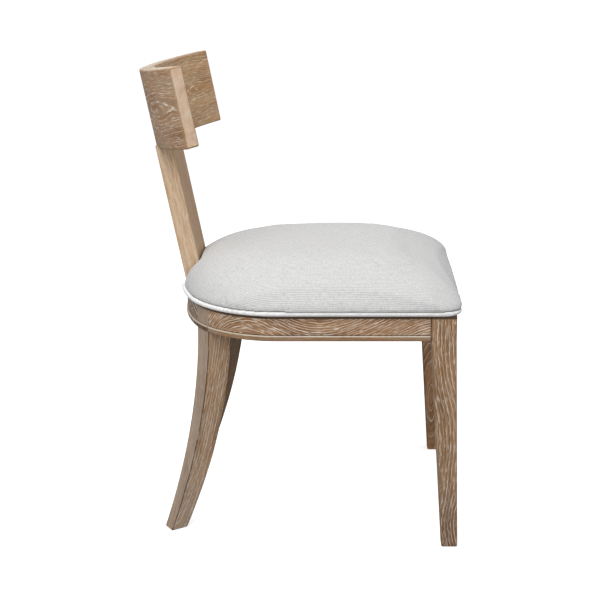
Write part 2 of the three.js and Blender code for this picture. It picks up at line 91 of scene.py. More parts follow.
def empty_material(name):
    """A material with nothing in its tree, and that tree."""
    material = bpy.data.materials.new(name)
    material.use_nodes = True
    material.node_tree.nodes.clear()
    return material, material.node_tree


def new_mesh(name, points, edges=(), faces=()):
    """A mesh of points, edges and faces."""
    mesh = bpy.data.meshes.new(name)
    mesh.from_pydata(points, edges, faces)
    return mesh


def add_object(name, mesh):
    """Puts a mesh in the scene, at the origin."""
    made = bpy.data.objects.new(name, mesh)
    scene.collection.objects.link(made)
    return made


floor_mesh = new_mesh("floor", [
    (x * FLOOR_HALF, y * FLOOR_HALF, -FLOOR_DROP) for x, y in ((-1, -1), (1, -1), (1, 1), (-1, 1))
], faces=[(0, 1, 2, 3)])
floor = add_object("floor", floor_mesh)
# Matt white paint: the eye sees plain white, and grey only where the chair keeps the light away. From below
# it is clear, so that the chair's underside can be looked at.
white_paint, tree = empty_material("matt_white_floor_paint")
mottle = add_node(tree, "ShaderNodeTexNoise", {"Scale": 3.0, "Detail": 2.0})
pale = add_node(tree, "ShaderNodeMix", {0: mottle, 6: "#E6E6E6", 7: "#E9E9E9"}, data_type="RGBA")
to_camera = add_node(tree, "ShaderNodeLightPath").outputs["Is Camera Ray"]
tone = add_node(tree, "ShaderNodeMix", {0: to_camera, 6: "#B4B4B4", 7: pale}, data_type="RGBA")
matt = add_node(tree, "ShaderNodeBsdfDiffuse", {"Color": tone})
glow = add_node(tree, "ShaderNodeMath", {0: to_camera, 1: FLOOR_GLOW}, operation="MULTIPLY")
lift = add_node(tree, "ShaderNodeEmission", {"Strength": glow})
both = add_node(tree, "ShaderNodeAddShader", {0: matt, 1: lift})
below = add_node(tree, "ShaderNodeNewGeometry").outputs["Backfacing"]
clear = add_node(tree, "ShaderNodeBsdfTransparent")
sided = add_node(tree, "ShaderNodeMixShader", {0: below, 1: both, 2: clear})
add_node(tree, "ShaderNodeOutputMaterial", {"Surface": sided})
floor.data.materials.append(white_paint)

# The room is pure white where it is looked at, mirrored or seen through a thing, and dimmer as a light.
room = bpy.data.worlds.new("white_room")
room.use_nodes = True
tree = room.node_tree
tree.nodes.clear()
seen = add_node(tree, "ShaderNodeLightPath").outputs
direct = seen["Is Camera Ray"]
for kind_of_ray in ("Is Glossy Ray", "Is Transmission Ray"):
    direct = add_node(tree, "ShaderNodeMath", {0: direct, 1: seen[kind_of_ray]}, operation="MAXIMUM")
strength = add_node(tree, "ShaderNodeMapRange", {"Value": direct, "To Min": ROOM_LIGHT, "To Max": 1.0})
white = add_node(tree, "ShaderNodeBackground", {"Color": "#FFFFFF", "Strength": strength})
add_node(tree, "ShaderNodeOutputWorld", {"Surface": white})
scene.world = room

for name, place, aim, size, watts in (
    ("soft_box_above_camera", (-0.65, -2.0, 2.4), (0, 0, 0.45), 1.5, 40),
    ("soft_box_above", (0.1, -0.3, 2.6), (0, 0, 0.4), 1.6, 21),
):
    lamp = bpy.data.objects.new(name, bpy.data.lights.new(name, "AREA"))
    lamp.data.size = size
    lamp.data.energy = watts
    lamp.location = place
    lamp.rotation_euler = (Vector(aim) - Vector(place)).to_track_quat("-Z", "Y").to_euler()
    scene.collection.objects.link(lamp)

# Crest rail.
# One board of limed oak, bent to an arc in plan and leaned back with the splat. It is sawn square at both
# ends, sanded round along its arrises, and stands on the splat's top with two dowels.
CREST_RADIUS = 0.284
CREST_HALF_ANGLE = math.radians(44.3)
CREST_THICKNESS = 0.028
CREST_HEIGHT = 0.1395
CREST_OVERHANG = 0.002
CREST_ARRIS = 0.003
CREST_STEPS = 96
RAKE_DEGREES = 10.7
BACK_RAKE = math.radians(RAKE_DEGREES)
SPLAT_LENGTH = 0.270
JOINT_GAP = 0.0003
FRAME_TOP = 0.436
SPLAT_FOOT_X = -0.210741
RING_WIDTH = 0.0031
WANDER = 0.007
WAVER = 0.0028
TREMBLE = 0.0009
STRAY_PORES = 0.35
SHARPEST_CURVE = math.radians(38)
SHARP_EDGE = math.radians(60)
JUST_INSIDE = 0.001


def in_turn(tree, kind, fed, *steps):
    """Adds nodes of one kind, each fed by the one before. A step is an operation and its other inputs."""
    for operation, *others in steps:
        fed = add_node(tree, kind, {0: fed, **dict(enumerate(others, 1))}, operation=operation)
    return fed


def streaks(tree, place, stretch, detail):
    """Noise drawn out into streaks: the stretch says how many of its waves fit into a metre, each way."""
    spread = add_node(tree, "ShaderNodeVectorMath", {0: place, 1: stretch}, operation="MULTIPLY")
    return add_node(tree, "ShaderNodeTexNoise", {"Vector": spread, "Scale": 1.0, "Detail": detail})


def limed_oak(name, wood, lime, board, pith, swells=(), ring=RING_WIDTH, wander=WANDER, attribute=None,
              stray=STRAY_PORES, foot=None):
    """Oak whose open pores are filled with white paste, rubbed matt.

    The eye sees brown board crossed by pale, broken lines that follow the growth rings, in arches where the
    saw cut along them and in fine stripes elsewhere. Most rings are drawn 2 to 5 mm wide, coarser than real
    ones, so that they show. wood is the dark, the light and the greyed brown, and the paste. lime is how
    much paste the pores hold. board is the place and turn of the plank that the piece was sawn from, with
    its grain along x. pith is where the tree's middle lay in the plank's y and z, and wander is how far it
    strays. Each swell is a place along the plank, how far the rings bulge there and over what length. stray
    is how strongly the pores between the rings take paste. foot paints light and shade near a leg's foot:
    where along the plank the painted tone sets in and where it is full, how strong it is, and the tone.
    """
    dark, light, grey, paste = wood
    material, tree = empty_material(name)
    if attribute:
        source = add_node(tree, "ShaderNodeAttribute", attribute_name=attribute).outputs["Vector"]
    else:
        source = add_node(tree, "ShaderNodeTexCoord").outputs["Object"]
    plank = add_node(tree, "ShaderNodeMapping", {
        "Vector": source,
        "Location": board[0],
        "Rotation": [math.radians(angle) for angle in board[1]],
    }, vector_type="TEXTURE")

    # The tree's middle wanders along the plank by some millimetres.
    drift = streaks(tree, plank, (6.5, 15.0, 15.0), 1.2)
    radius = in_turn(
        tree, "ShaderNodeVectorMath", drift.outputs["Color"],
        ("SUBTRACT", (0.5, 0.5, 0.5)), ("MULTIPLY", (0.0, 2 * wander, 2 * wander)), ("ADD", plank),
        ("SUBTRACT", (0.0, *pith)), ("MULTIPLY", (0.0, 1.0, 1.0)), ("LENGTH",),
    )

    # Each swell pushes the rings out round one place, which closes the arches there into an eye.
    parts = add_node(tree, "ShaderNodeSeparateXYZ", {0: plank}).outputs
    for at, height, half_length in swells:
        share = in_turn(tree, "ShaderNodeMath", parts[0], ("SUBTRACT", at), ("DIVIDE", half_length))
        bell = in_turn(tree, "ShaderNodeMath", share, ("MULTIPLY", share), ("MULTIPLY", -1.0), ("EXPONENT",))
        radius = in_turn(tree, "ShaderNodeMath", bell, ("MULTIPLY_ADD", height, radius))

    # Rings waver by a millimetre over two or three centimetres, and tremble by less over a few millimetres.
    for stretch, depth in (((34.0, 80.0, 80.0), WAVER), ((150.0, 210.0, 210.0), TREMBLE)):
        waver = streaks(tree, plank, stretch, 1.0)
        radius = in_turn(tree, "ShaderNodeMath", waver, ("MULTIPLY_ADD", depth, radius))
    rings = in_turn(tree, "ShaderNodeMath", radius, ("DIVIDE", ring))
    phase, count = (in_turn(tree, "ShaderNodeMath", rings, (operation,)) for operation in ("FRACT", "FLOOR"))
    year = add_node(tree, "ShaderNodeTexWhiteNoise", {"W": count}, noise_dimensions="1D")
    year_share = add_node(tree, "ShaderNodeMapRange", {"Value": year, "To Min": 0.1, "To Max": 1.0})

    # The porous band opens each ring sharply, and the dense wood behind it is darkest next to the band.
    opens = add_node(tree, "ShaderNodeMapRange", {"Value": phase, "From Max": 0.06},
                     interpolation_type="SMOOTHSTEP")
    fades = add_node(tree, "ShaderNodeMapRange", {
        "Value": phase, "From Min": 0.08, "From Max": 0.24, "To Min": 1.0, "To Max": 0.0,
    }, interpolation_type="SMOOTHSTEP")
    dense = add_node(tree, "ShaderNodeMapRange", {
        "Value": phase, "From Min": 0.45, "From Max": 0.95, "To Min": 1.0, "To Max": 0.25,
    })

    # Pores: dashes that follow the rings, some 15 mm long and 1 mm wide, and groups of them. Paste fills
    # them where the dashes, the groups, the band and the year's share all agree.
    round_pith = in_turn(tree, "ShaderNodeMath", parts[1], ("ADD", parts[2]))
    ringwise = add_node(tree, "ShaderNodeCombineXYZ", {0: parts[0], 1: radius, 2: round_pith})
    pores = streaks(tree, ringwise, (65.0, 700.0, 90.0), 1.0)
    dashes = add_node(tree, "ShaderNodeMapRange", {"Value": pores, "From Min": 0.36, "From Max": 0.52})
    groups = streaks(tree, ringwise, (38.0, 230.0, 50.0), 1.5)
    broken = add_node(tree, "ShaderNodeMapRange", {"Value": groups, "From Min": 0.30, "From Max": 0.46})
    porous = in_turn(tree, "ShaderNodeMath", opens, ("MULTIPLY", fades))
    single = add_node(tree, "ShaderNodeMapRange", {
        "Value": pores, "From Min": 0.56, "From Max": 0.70, "To Max": stray,
    })
    white = in_turn(
        tree, "ShaderNodeMath", dashes, ("MULTIPLY_ADD", 0.6, 0.4), ("MULTIPLY", broken),
        ("MULTIPLY", porous), ("MULTIPLY", year_share), ("MAXIMUM", single), ("MULTIPLY", lime),
    )
    white.use_clamp = True

    # The board's own brown: dark beside the bands, with warm and greyed patches and fine fibres.
    patches = streaks(tree, plank, (10.0, 55.0, 55.0), 3.0)
    fibres = streaks(tree, plank, (45.0, 1000.0, 1000.0), 2.0)
    mixed = in_turn(tree, "ShaderNodeMath", fibres, ("MULTIPLY_ADD", 0.5, patches))
    shaded = in_turn(tree, "ShaderNodeMath", dense, ("MULTIPLY_ADD", -0.30, mixed))
    browned = add_node(tree, "ShaderNodeMapRange", {"Value": shaded, "From Min": 0.25, "From Max": 0.85})
    greyed = add_node(tree, "ShaderNodeMapRange", {
        "Value": patches.outputs["Color"], "From Min": 0.42, "From Max": 0.66, "To Max": 0.55,
    })
    colour = add_node(tree, "ShaderNodeMix", {0: browned, 6: dark, 7: light}, data_type="RGBA")
    layers = [(greyed, grey), (white, paste)]
    # Painted light and shade near a leg's foot: a tone that sets in along the plank.
    if foot:
        start, end, most, painted_foot_tone = foot
        painted_foot_share = add_node(tree, "ShaderNodeMapRange", {
            "Value": parts[0], "From Min": start, "From Max": end, "To Max": most,
        })
        layers.insert(1, (painted_foot_share, painted_foot_tone))
    for share, tone in layers:
        colour = add_node(tree, "ShaderNodeMix", {0: share, 6: colour, 7: tone}, data_type="RGBA")
    roughness = add_node(tree, "ShaderNodeMapRange", {"Value": white, "To Min": 0.55, "To Max": 0.8})
    relief = in_turn(tree, "ShaderNodeMath", white, ("MULTIPLY_ADD", -0.5, fibres))
    bump = add_node(tree, "ShaderNodeBump", {"Height": relief, "Strength": 0.35, "Distance": 0.0004})
    skin = add_node(tree, "ShaderNodeBsdfPrincipled", {
        "Base Color": colour, "Roughness": roughness, "IOR": 1.5, "Specular IOR Level": 0.3, "Normal": bump,
    })
    add_node(tree, "ShaderNodeOutputMaterial", {"Surface": skin})
    return material


def oak_tones(stem, board, pith, *rows, **shared):
    """One plank's oak in several tones. A row is a name's end, the wood, the lime and what else differs."""
    return [limed_oak(stem + end, wood, lime, board, pith, **shared, **more) for end, wood, lime, more in rows]


def plain_mesh(source, name):
    """The source object with its modifiers applied, as a mesh of its own. The source is taken away."""
    graph = bpy.context.evaluated_depsgraph_get()
    mesh = bpy.data.meshes.new_from_object(source.evaluated_get(graph), preserve_all_data_layers=True,
                                           depsgraph=graph)
    mesh.name = name
    bpy.data.objects.remove(source)
    return mesh


def turn_outwards(mesh):
    """Makes a closed mesh's faces point outwards."""
    work = bmesh.new()
    work.from_mesh(mesh)
    bmesh.ops.recalc_face_normals(work, faces=work.faces)
    work.to_mesh(mesh)
    work.free()


def wooden_piece(name, mesh, materials):
    """Turns the faces outwards, shades flats flat and curves smooth, and puts the piece in the scene."""
    turn_outwards(mesh)
    slots = [face.material_index for face in mesh.polygons]
    mesh.materials.clear()
    for material in materials:
        mesh.materials.append(material)
    for face, slot in zip(mesh.polygons, slots):
        face.material_index = slot
        face.use_smooth = True
    mesh.set_sharp_from_angle(angle=SHARPEST_CURVE)
    rough = add_object(f"{name}_rough", mesh)
    rough.modifiers.new("evened", "WEIGHTED_NORMAL").keep_sharp = True
    return add_object(name, plain_mesh(rough, name))


def soften_edges(mesh, chosen, width, steps):
    """Rounds the edges that are chosen, and gives the round the second material."""
    work = bmesh.new()
    work.from_mesh(mesh)
    bmesh.ops.bevel(work, geom=[edge for edge in work.edges if chosen(edge)], offset=width, segments=steps,
                    profile=0.5, affect="EDGES", material=1)
    work.to_mesh(mesh)
    work.free()


def shape_tree(name, inputs):
    """A geometry tree with one shape as its output and named inputs, and what those inputs bring."""
    tree = bpy.data.node_groups.new(name, "GeometryNodeTree")
    tree.interface.new_socket("Shape", in_out="OUTPUT", socket_type="NodeSocketGeometry")
    for label, kind in inputs.items():
        tree.interface.new_socket(label, in_out="INPUT", socket_type=f"NodeSocket{kind}")
    return tree, add_node(tree, "NodeGroupInput").outputs


def end_tree(tree, shape, material):
    """Makes a tree's instances real, gives them their material and sends them out."""
    real = add_node(tree, "GeometryNodeRealizeInstances", {0: shape})
    painted = add_node(tree, "GeometryNodeSetMaterial", {0: real, "Material": material})
    add_node(tree, "NodeGroupOutput", {0: painted})


def run_tree(tree, name, start, values):
    """The plain mesh that a tree makes from a start mesh. Each value goes in by its input's identifier."""
    holder = add_object(f"{name}_start", start)
    modifier = holder.modifiers.new(tree.name, "NODES")
    modifier.node_group = tree
    identifiers = {item.name: item.identifier for item in tree.interface.items_tree}
    for label, value in values.items():
        modifier[identifiers[label]] = value
    return plain_mesh(holder, name)


# Oak face, its rubbed arris, where the paste is worn off and the brown shows, its sawn end, pale and
# speckled, the hollow that the sitter leans on, and the upper and lower rim, which were sawn along the
# rings.
FACE, ARRIS, END, HOLLOW, RIM = range(5)
arches = {"swells": ((-0.140, -0.0044, 0.045), (0.150, -0.004, 0.045)), "wander": 0.004}
crest_woods = oak_tones(
    "limed_oak_crest", ((0, 0, 0), (0, 0, 0)), (0.072, -0.026),
    ("", ("#8A6649", "#C49D79", "#AF9882", "#F1E4D3"), 1.3, arches),
    ("_arris", ("#916D4D", "#B89470", "#A8937E", "#DCCFBD"), 0.6, {}),
    ("_end_grain", ("#C2A084", "#E3C6A6", "#DDC8B3", "#FAF1E6"), 0.5, {"ring": 0.0016, "stray": 0.4}),
    ("_hollow", ("#84603F", "#BC9469", "#A88F71", "#EADBC2"), 1.3, arches),
    ("_rim", ("#876E56", "#C3AE94", "#B3AAA0", "#F6EFE6"), 1.5, {}),
    attribute="grain",
)

# A board's section, swept along an arc that lies round the origin.
bent_board, given = shape_tree("bent_board", {
    "Radius": "Float", "Half Angle": "Float", "Thickness": "Float", "Height": "Float", "Steps": "Int",
    "Material": "Material",
})
start = in_turn(bent_board, "ShaderNodeMath", math.pi, ("SUBTRACT", given["Half Angle"]))
sweep = in_turn(bent_board, "ShaderNodeMath", given["Half Angle"], ("MULTIPLY", 2.0))
arc = add_node(bent_board, "GeometryNodeCurveArc", {
    "Resolution": given["Steps"], "Radius": given["Radius"], "Start Angle": start, "Sweep Angle": sweep,
}, mode="RADIUS")
upright = add_node(bent_board, "GeometryNodeSetCurveNormal", {"Curve": arc}, mode="Z_UP")
section = add_node(bent_board, "GeometryNodeCurvePrimitiveQuadrilateral", {
    "Width": given["Thickness"], "Height": given["Height"],
}, mode="RECTANGLE")
board = add_node(bent_board, "GeometryNodeCurveToMesh", {
    "Curve": upright, "Profile Curve": section, "Fill Caps": True,
})
end_tree(bent_board, board, given["Material"])

middle = CREST_RADIUS - CREST_THICKNESS / 2
crest_mesh = run_tree(bent_board, "crest_rail", bpy.data.meshes.new("crest_blank"), {
    "Radius": middle, "Half Angle": CREST_HALF_ANGLE, "Thickness": CREST_THICKNESS, "Height": CREST_HEIGHT,
    "Steps": CREST_STEPS, "Material": crest_woods[FACE],
})
soften_edges(crest_mesh, lambda edge: edge.calc_face_angle(0) > SHARP_EDGE, CREST_ARRIS, steps=4)

# The plank's own directions: round the arc, up the board, and out through its thickness.
grain = crest_mesh.attributes.new("grain", "FLOAT_VECTOR", "POINT")
for vertex in crest_mesh.vertices:
    x, y, z = vertex.co
    grain.data[vertex.index].vector = (
        math.atan2(y, -x) * middle, z + CREST_HEIGHT / 2, math.hypot(x, y) - middle,
    )
for face in crest_mesh.polygons:
    x, y, z = face.center
    if face.material_index == ARRIS:
        continue
    if abs(math.atan2(y, -x)) > CREST_HALF_ANGLE - JUST_INSIDE:
        face.material_index = END
    elif abs(z) > CREST_HEIGHT / 2 - JUST_INSIDE:
        face.material_index = RIM
    elif math.hypot(x, y) < middle:
        face.material_index = HOLLOW

# On the splat the crest's lowest edge is level with the splat's top and stands out 2 mm behind it.
raked = Matrix.Translation((SPLAT_FOOT_X, 0, FRAME_TOP)) @ Matrix.Rotation(-BACK_RAKE, 4, "Y")
crest_place = (CREST_RADIUS - CREST_OVERHANG, 0, SPLAT_LENGTH + JOINT_GAP + CREST_HEIGHT / 2)
crest_mesh.transform(raked @ Matrix.Translation(crest_place))
crest = wooden_piece("crest_rail_oak", crest_mesh, crest_woods)
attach(crest, "root")
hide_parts("crest_rail")

# Splat.
# A straight, broad upright of limed oak. Its foot is a tenon glued in the back rail's mortise, its shoulders
# stand on the rail, and its top takes the crest's dowels. Its two narrow sides are paler than the faces.
SPLAT_WIDTH = 0.107
SPLAT_THICKNESS = 0.032
SPLAT_ARRIS = 0.0012
TENON_WIDTH = 0.080
TENON_THICKNESS = 0.010
TENON_DEPTH = 0.028
TENON_INSET = 0.003

splat_woods = oak_tones(
    "limed_oak_splat", ((SPLAT_FOOT_X, 0, FRAME_TOP), (0, -90 - RAKE_DEGREES, 0)), (0.115, 0.02),
    ("", ("#9A7758", "#BE9977", "#B49F84", "#D3C4B2"), 0.6, {"ring": 0.0026, "wander": 0.003}),
    ("_arris", ("#AD8A64", "#CCAA84", "#C2A88B", "#E4D4BF"), 0.5, {"ring": 0.0026}),
    ("_edge", ("#B4916F", "#EACDA9", "#DFC7AF", "#FBF1E2"), 0.5,
     {"ring": 0.0015, "wander": 0.002, "stray": 0.3}),
)
half_width, half_tenon = SPLAT_WIDTH / 2, TENON_WIDTH / 2
shoulder = FRAME_TOP + JOINT_GAP
front_x = SPLAT_FOOT_X + SPLAT_THICKNESS / math.cos(BACK_RAKE)
leaned = JOINT_GAP * math.tan(BACK_RAKE)
corners = []
for y in (-half_width, half_width):
    corners += [(SPLAT_FOOT_X - leaned, y, shoulder), (front_x - leaned, y, shoulder)]
    corners += [tuple(raked @ Vector((x, y, SPLAT_LENGTH))) for x in (SPLAT_THICKNESS, 0)]
rear, front = SPLAT_FOOT_X + TENON_INSET, SPLAT_FOOT_X + TENON_INSET + TENON_THICKNESS
for z in (shoulder, FRAME_TOP - TENON_DEPTH):
    corners += [(rear, -half_tenon, z), (front, -half_tenon, z)]
    corners += [(front, half_tenon, z), (rear, half_tenon, z)]
splat_mesh = new_mesh("splat", corners, faces=[
    (0, 1, 2, 3), (4, 7, 6, 5), (0, 3, 7, 4), (1, 5, 6, 2), (3, 2, 6, 7),
    (0, 8, 9, 1), (1, 9, 10, 5), (5, 10, 11, 4), (4, 11, 8, 0),
    (8, 12, 13, 9), (9, 13, 14, 10), (10, 14, 15, 11), (11, 15, 12, 8), (12, 15, 14, 13),
])
for face in splat_mesh.polygons[:2]:
    face.material_index = END
long_edges = ({0, 3}, {1, 2}, {4, 7}, {5, 6})
soften_edges(splat_mesh, lambda edge: {end.index for end in edge.verts} in long_edges, SPLAT_ARRIS, steps=3)
splat = wooden_piece("splat_oak", splat_mesh, splat_woods)
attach(splat, "root")
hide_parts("splat")

# Seat frame: side rails, back rail and front rail.
# Four rails of limed oak, 46 mm high and 24 mm thick, that form a horseshoe in plan. The side rails are
# sawn from thick blocks, so their curved rear ends cut across the grain. A bead is cut along the lower
# outer edge.
FRAME_FRONT_X = 0.278959
FRAME_DEPTH = 0.495
FRAME_HALF_WIDTH = 0.2455
REAR_ARC = 0.360
CORNER_ARC = 0.170
RAIL_HEIGHT = 0.046
RAIL_THICKNESS = 0.024
RAIL_BOTTOM = FRAME_TOP - RAIL_HEIGHT
RAIL_ARRIS = 0.0005
RAIL_STEPS = 40
BEAD_HEIGHT = 0.0100
BEAD_DEPTH = 0.0020
BEAD_FULLNESS = 0.6
BEAD_STEPS = 10
LIP_STEPS = 3
QUIRK_DEPTH = 0.0013
QUIRK_HEIGHT = 0.0012
QUIRK_SHOULDER = 0.2
# Depth below the frame's top of the strip of painted shade for the welt's shadow.
PAINTED_WELT_SHADOW_DEPTH = 0.0058
# Length of a side rail's end at the front leg that carries painted shade for the joint's shadow.
JOINT_SHADE = 0.0015
LEG_PROUD = 0.0015
FRONT_LEG_TOP = 0.044
POST_ANGLE = math.radians(34)
REAR_LEG_TOP_WIDTH = 0.043
HALVINGS = 40

rear_arc_x = FRAME_FRONT_X - FRAME_DEPTH + REAR_ARC
corner_y = FRAME_HALF_WIDTH - CORNER_ARC
corner_angle = math.asin(corner_y / (REAR_ARC - CORNER_ARC))
corner_x = rear_arc_x - (REAR_ARC - CORNER_ARC) * math.cos(corner_angle)


def frame_curve(angle, offset):
    """A point of the seat's outline on the left, moved out by the offset. The angle starts at the back."""
    if angle < corner_angle:
        reach = REAR_ARC + offset
        return rear_arc_x - reach * math.cos(angle), reach * math.sin(angle)
    reach = CORNER_ARC + offset
    return corner_x - reach * math.cos(angle), corner_y + reach * math.sin(angle)


post_x, post_y = frame_curve(POST_ANGLE, 0)
post_out = (-math.cos(POST_ANGLE), math.sin(POST_ANGLE))
post_along = (math.sin(POST_ANGLE), math.cos(POST_ANGLE))


def post_point(out, along, side):
    """A place in plan near the rear post: how far out through its face, and how far along the frame."""
    return (
        post_x + out * post_out[0] + along * post_along[0],
        side * (post_y + out * post_out[1] + along * post_along[1]),
    )


def angle_at_post(offset, beside):
    """The angle at which the outline, moved out by the offset, meets a plane beside the post's middle."""
    low, high = 0, math.pi / 2
    for _ in range(HALVINGS):
        guess = (low + high) / 2
        x, y = frame_curve(guess, offset)
        if (x - post_x) * post_along[0] + (y - post_y) * post_along[1] < beside:
            low = guess
        else:
            high = guess
    return low


def rail_section(eased=0.0):
    """The rail's section as offset and height: square inside, with the bead and its quirk outside."""
    bead = []
    for i in range(BEAD_STEPS + 1):
        turn = math.radians(180 * i / BEAD_STEPS - 90)
        bead.append((
            BEAD_DEPTH * max(math.cos(turn), 0) ** BEAD_FULLNESS,
            RAIL_BOTTOM + BEAD_HEIGHT / 2 * (1 + math.sin(turn)),
        ))
    inner, bead_top = -RAIL_THICKNESS, RAIL_BOTTOM + BEAD_HEIGHT
    outline = [
        (inner, RAIL_BOTTOM + RAIL_ARRIS), (inner + RAIL_ARRIS, RAIL_BOTTOM),
        *bead,
        (-QUIRK_DEPTH, bead_top + QUIRK_SHOULDER * QUIRK_HEIGHT), (0, bead_top + QUIRK_HEIGHT),
        # The point at the painted shadow's depth bounds the strip of painted shade at the rail's top.
        (0, FRAME_TOP - PAINTED_WELT_SHADOW_DEPTH), (0, FRAME_TOP - RAIL_ARRIS), (-RAIL_ARRIS, FRAME_TOP),
        (inner + RAIL_ARRIS, FRAME_TOP), (inner, FRAME_TOP - RAIL_ARRIS),
    ]
    middle_z = (FRAME_TOP + RAIL_BOTTOM) / 2
    return [
        (offset - math.copysign(eased, offset - inner / 2), z - math.copysign(eased, z - middle_z))
        for offset, z in outline
    ]


# On the frame and its legs the fourth and fifth materials are the bead's lip, with more paste and a
# painted highlight, and the strips of painted shade.
LIP, PAINTED_SHADE = 3, 4
FIRST_OF_BEAD = 2
LAST_OF_BEAD = FIRST_OF_BEAD + BEAD_STEPS
# The quirk's two strips and the two at the top edge carry painted shade.
PAINTED_SHADE_STRIPS = (LAST_OF_BEAD, LAST_OF_BEAD + 1, LAST_OF_BEAD + 3, LAST_OF_BEAD + 4)


def section_slot(column):
    """The material of the strip that starts at a point of the section: bead, lip, painted shade in quirk and
    top edge.
    """
    if FIRST_OF_BEAD <= column < LAST_OF_BEAD:
        return ARRIS if column < LAST_OF_BEAD - LIP_STEPS else LIP
    return PAINTED_SHADE if column in PAINTED_SHADE_STRIPS else FACE


def ringed_mesh(name, rings, slot_of=lambda level, column: FACE):
    """Joins rings of equal length side by side and closes both ends, with a material slot for each face."""
    count = len(rings[0])
    faces, slots = [], []
    for k in range(len(rings) - 1):
        for i in range(count):
            j = (i + 1) % count
            faces.append((k * count + i, k * count + j, (k + 1) * count + j, (k + 1) * count + i))
            slots.append(slot_of(k, i))
    faces.append(tuple(range(count - 1, -1, -1)))
    faces.append(tuple((len(rings) - 1) * count + i for i in range(count)))
    mesh = new_mesh(name, [point for ring in rings for point in ring], faces=faces)
    mesh.polygons.foreach_set("material_index", slots + [END, END])
    return mesh


def swept_rail(name, stations, painted_shade_end=()):
    """A rail along stations, each of which turns an offset into a place in plan. The ends are eased.

    The stations of the painted-shade end come last, and the wood between them carries painted shade for the
    shadow in the joint at the front leg.
    """
    stations = stations + list(painted_shade_end)
    plain, eased = rail_section(), rail_section(RAIL_ARRIS)
    shapes = [eased] + [plain] * (len(stations) - 2) + [eased]
    rings = [
        [(*station(offset), z) for offset, z in shape]
        for station, shape in zip(stations, shapes)
    ]
    first_painted_shade = len(stations) - len(painted_shade_end)

    def slot_of(level, column):
        return PAINTED_SHADE if level >= first_painted_shade else section_slot(column)

    return ringed_mesh(name, rings, slot_of)


def round_to_post(side, beside, end_angle):
    """Stations from the rear post's side plane round the curve to an angle."""
    def station(share, extra):
        def place(offset):
            first = angle_at_post(offset, beside + extra)
            x, y = frame_curve(first + (end_angle - first) * share, offset)
            return x, side * y
        return place
    inwards = math.copysign(RAIL_ARRIS, end_angle - angle_at_post(0, beside))
    return [station(0, 0)] + [station(i / RAIL_STEPS, inwards) for i in range(RAIL_STEPS + 1)]


# The bead's lip keeps more paste than the rest and is paler still with a painted highlight on its top. The
# quirk above it, the top edge under the welt and the rails' ends at the front legs are darkened with little
# paste and painted shade, for the shadow in the quirk, under the welt and in the joints.
edge_board = ((0, 0, 0), (0, 0, 20))
lip_paste_and_highlight, painted_shade_oak = oak_tones(
    "limed_oak", edge_board, (0.3, -0.2),
    # The lip's pale oak is its paste and a painted highlight on its top.
    ("_bead_lip_paste_and_highlight", ("#C0AE9A", "#DACDBC", "#D2C5B5", "#F1EAE1"), 0.6, {}),
    # Painted shade: near-black oak for the shadow in the quirk, under the welt and in the joints.
    ("_painted_shade_oak", ("#4A3626", "#6B5440", "#5E4E3F", "#8C7C6A"), 0.4, {}),
    ring=0.0024,
)
rail_wood = ("#775031", "#C09163", "#A78A71", "#FBEEDD")
side_arches = {"swells": ((0.24, -0.100, 0.16), (-0.115, -0.045, 0.080)), "ring": 0.0043, "wander": 0.005}
post_plane = REAR_LEG_TOP_WIDTH / 2 + JOINT_GAP
straight_end = FRAME_FRONT_X - FRONT_LEG_TOP - JOINT_GAP
for side, side_name in ((-1, "right"), (1, "left")):
    plank = ((0.03, side * 0.21, 0.413), (0, 2.0, side * -2.5))
    face, arris = oak_tones(
        f"limed_oak_side_rail_{side_name}", plank, (side * 0.020, -0.045),
        ("", rail_wood, 2.2, side_arches),
        ("_arris", ("#826142", "#A8825E", "#A28D78", "#DACDBB"), 0.6, {}),
    )
    # The last stations, next to the front leg, bound the rail's end of painted shade.
    straight = [
        lambda offset, x=straight_end - back, s=side: (x, s * (FRAME_HALF_WIDTH + offset))
        for back in (JOINT_SHADE, RAIL_ARRIS, 0)
    ]
    rail_mesh = swept_rail("side_rail", round_to_post(side, post_plane, math.pi / 2), straight)
    rail = wooden_piece(f"side_rail_{side_name}_oak", rail_mesh, (face, arris, face, lip_paste_and_highlight, painted_shade_oak))
    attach(rail, "root")
    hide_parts(f"side_rail_{side_name}")

back_face = limed_oak("limed_oak_back_rail", ("#58402E", "#937559", "#867664", "#F2E5D6"), 2.4,
                      ((-0.19, 0, 0.413), (0, 0, 90)), (0.03, -0.03), ring=0.0085, wander=0.008)
left_half, right_half = round_to_post(1, -post_plane, 0), round_to_post(-1, -post_plane, 0)
back_rail = wooden_piece("back_rail_oak", swept_rail("back_rail", left_half + right_half[-2::-1]),
                         (back_face, back_face, back_face, lip_paste_and_highlight, painted_shade_oak))
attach(back_rail, "root")
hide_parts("back_rail")

front_face = limed_oak("limed_oak_front_rail", rail_wood, 1.2, ((0.25, 0, 0.413), (0, 0, 91)), (0.02, -0.03),
                       ((0.05, -0.012, 0.05),))
inner_leg = FRAME_HALF_WIDTH + LEG_PROUD - FRONT_LEG_TOP - JOINT_GAP
front_stations = [
    lambda offset, y=y: (FRAME_FRONT_X - LEG_PROUD + offset, y)
    for y in (-inner_leg, -inner_leg + RAIL_ARRIS, inner_leg - RAIL_ARRIS, inner_leg)
]
front_rail = wooden_piece("front_rail_oak", swept_rail("front_rail", front_stations),
                          (front_face, front_face, front_face, lip_paste_and_highlight, painted_shade_oak))
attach(front_rail, "root")
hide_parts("front_rail")

# Front legs.
# Square limed oak legs, 44 mm at the seat and 29 mm at the foot. Only the rear and inner faces taper, and
# the foot stands 9 mm forward. The tops are part of the seat frame and take the rails' dowels.
FRONT_LEG_FOOT = 0.029
FRONT_LEG_LEAN = 0.009
LEG_ARRIS = 0.0016
ARRIS_STEPS = 4
LEG_OUTER = FRAME_HALF_WIDTH + LEG_PROUD
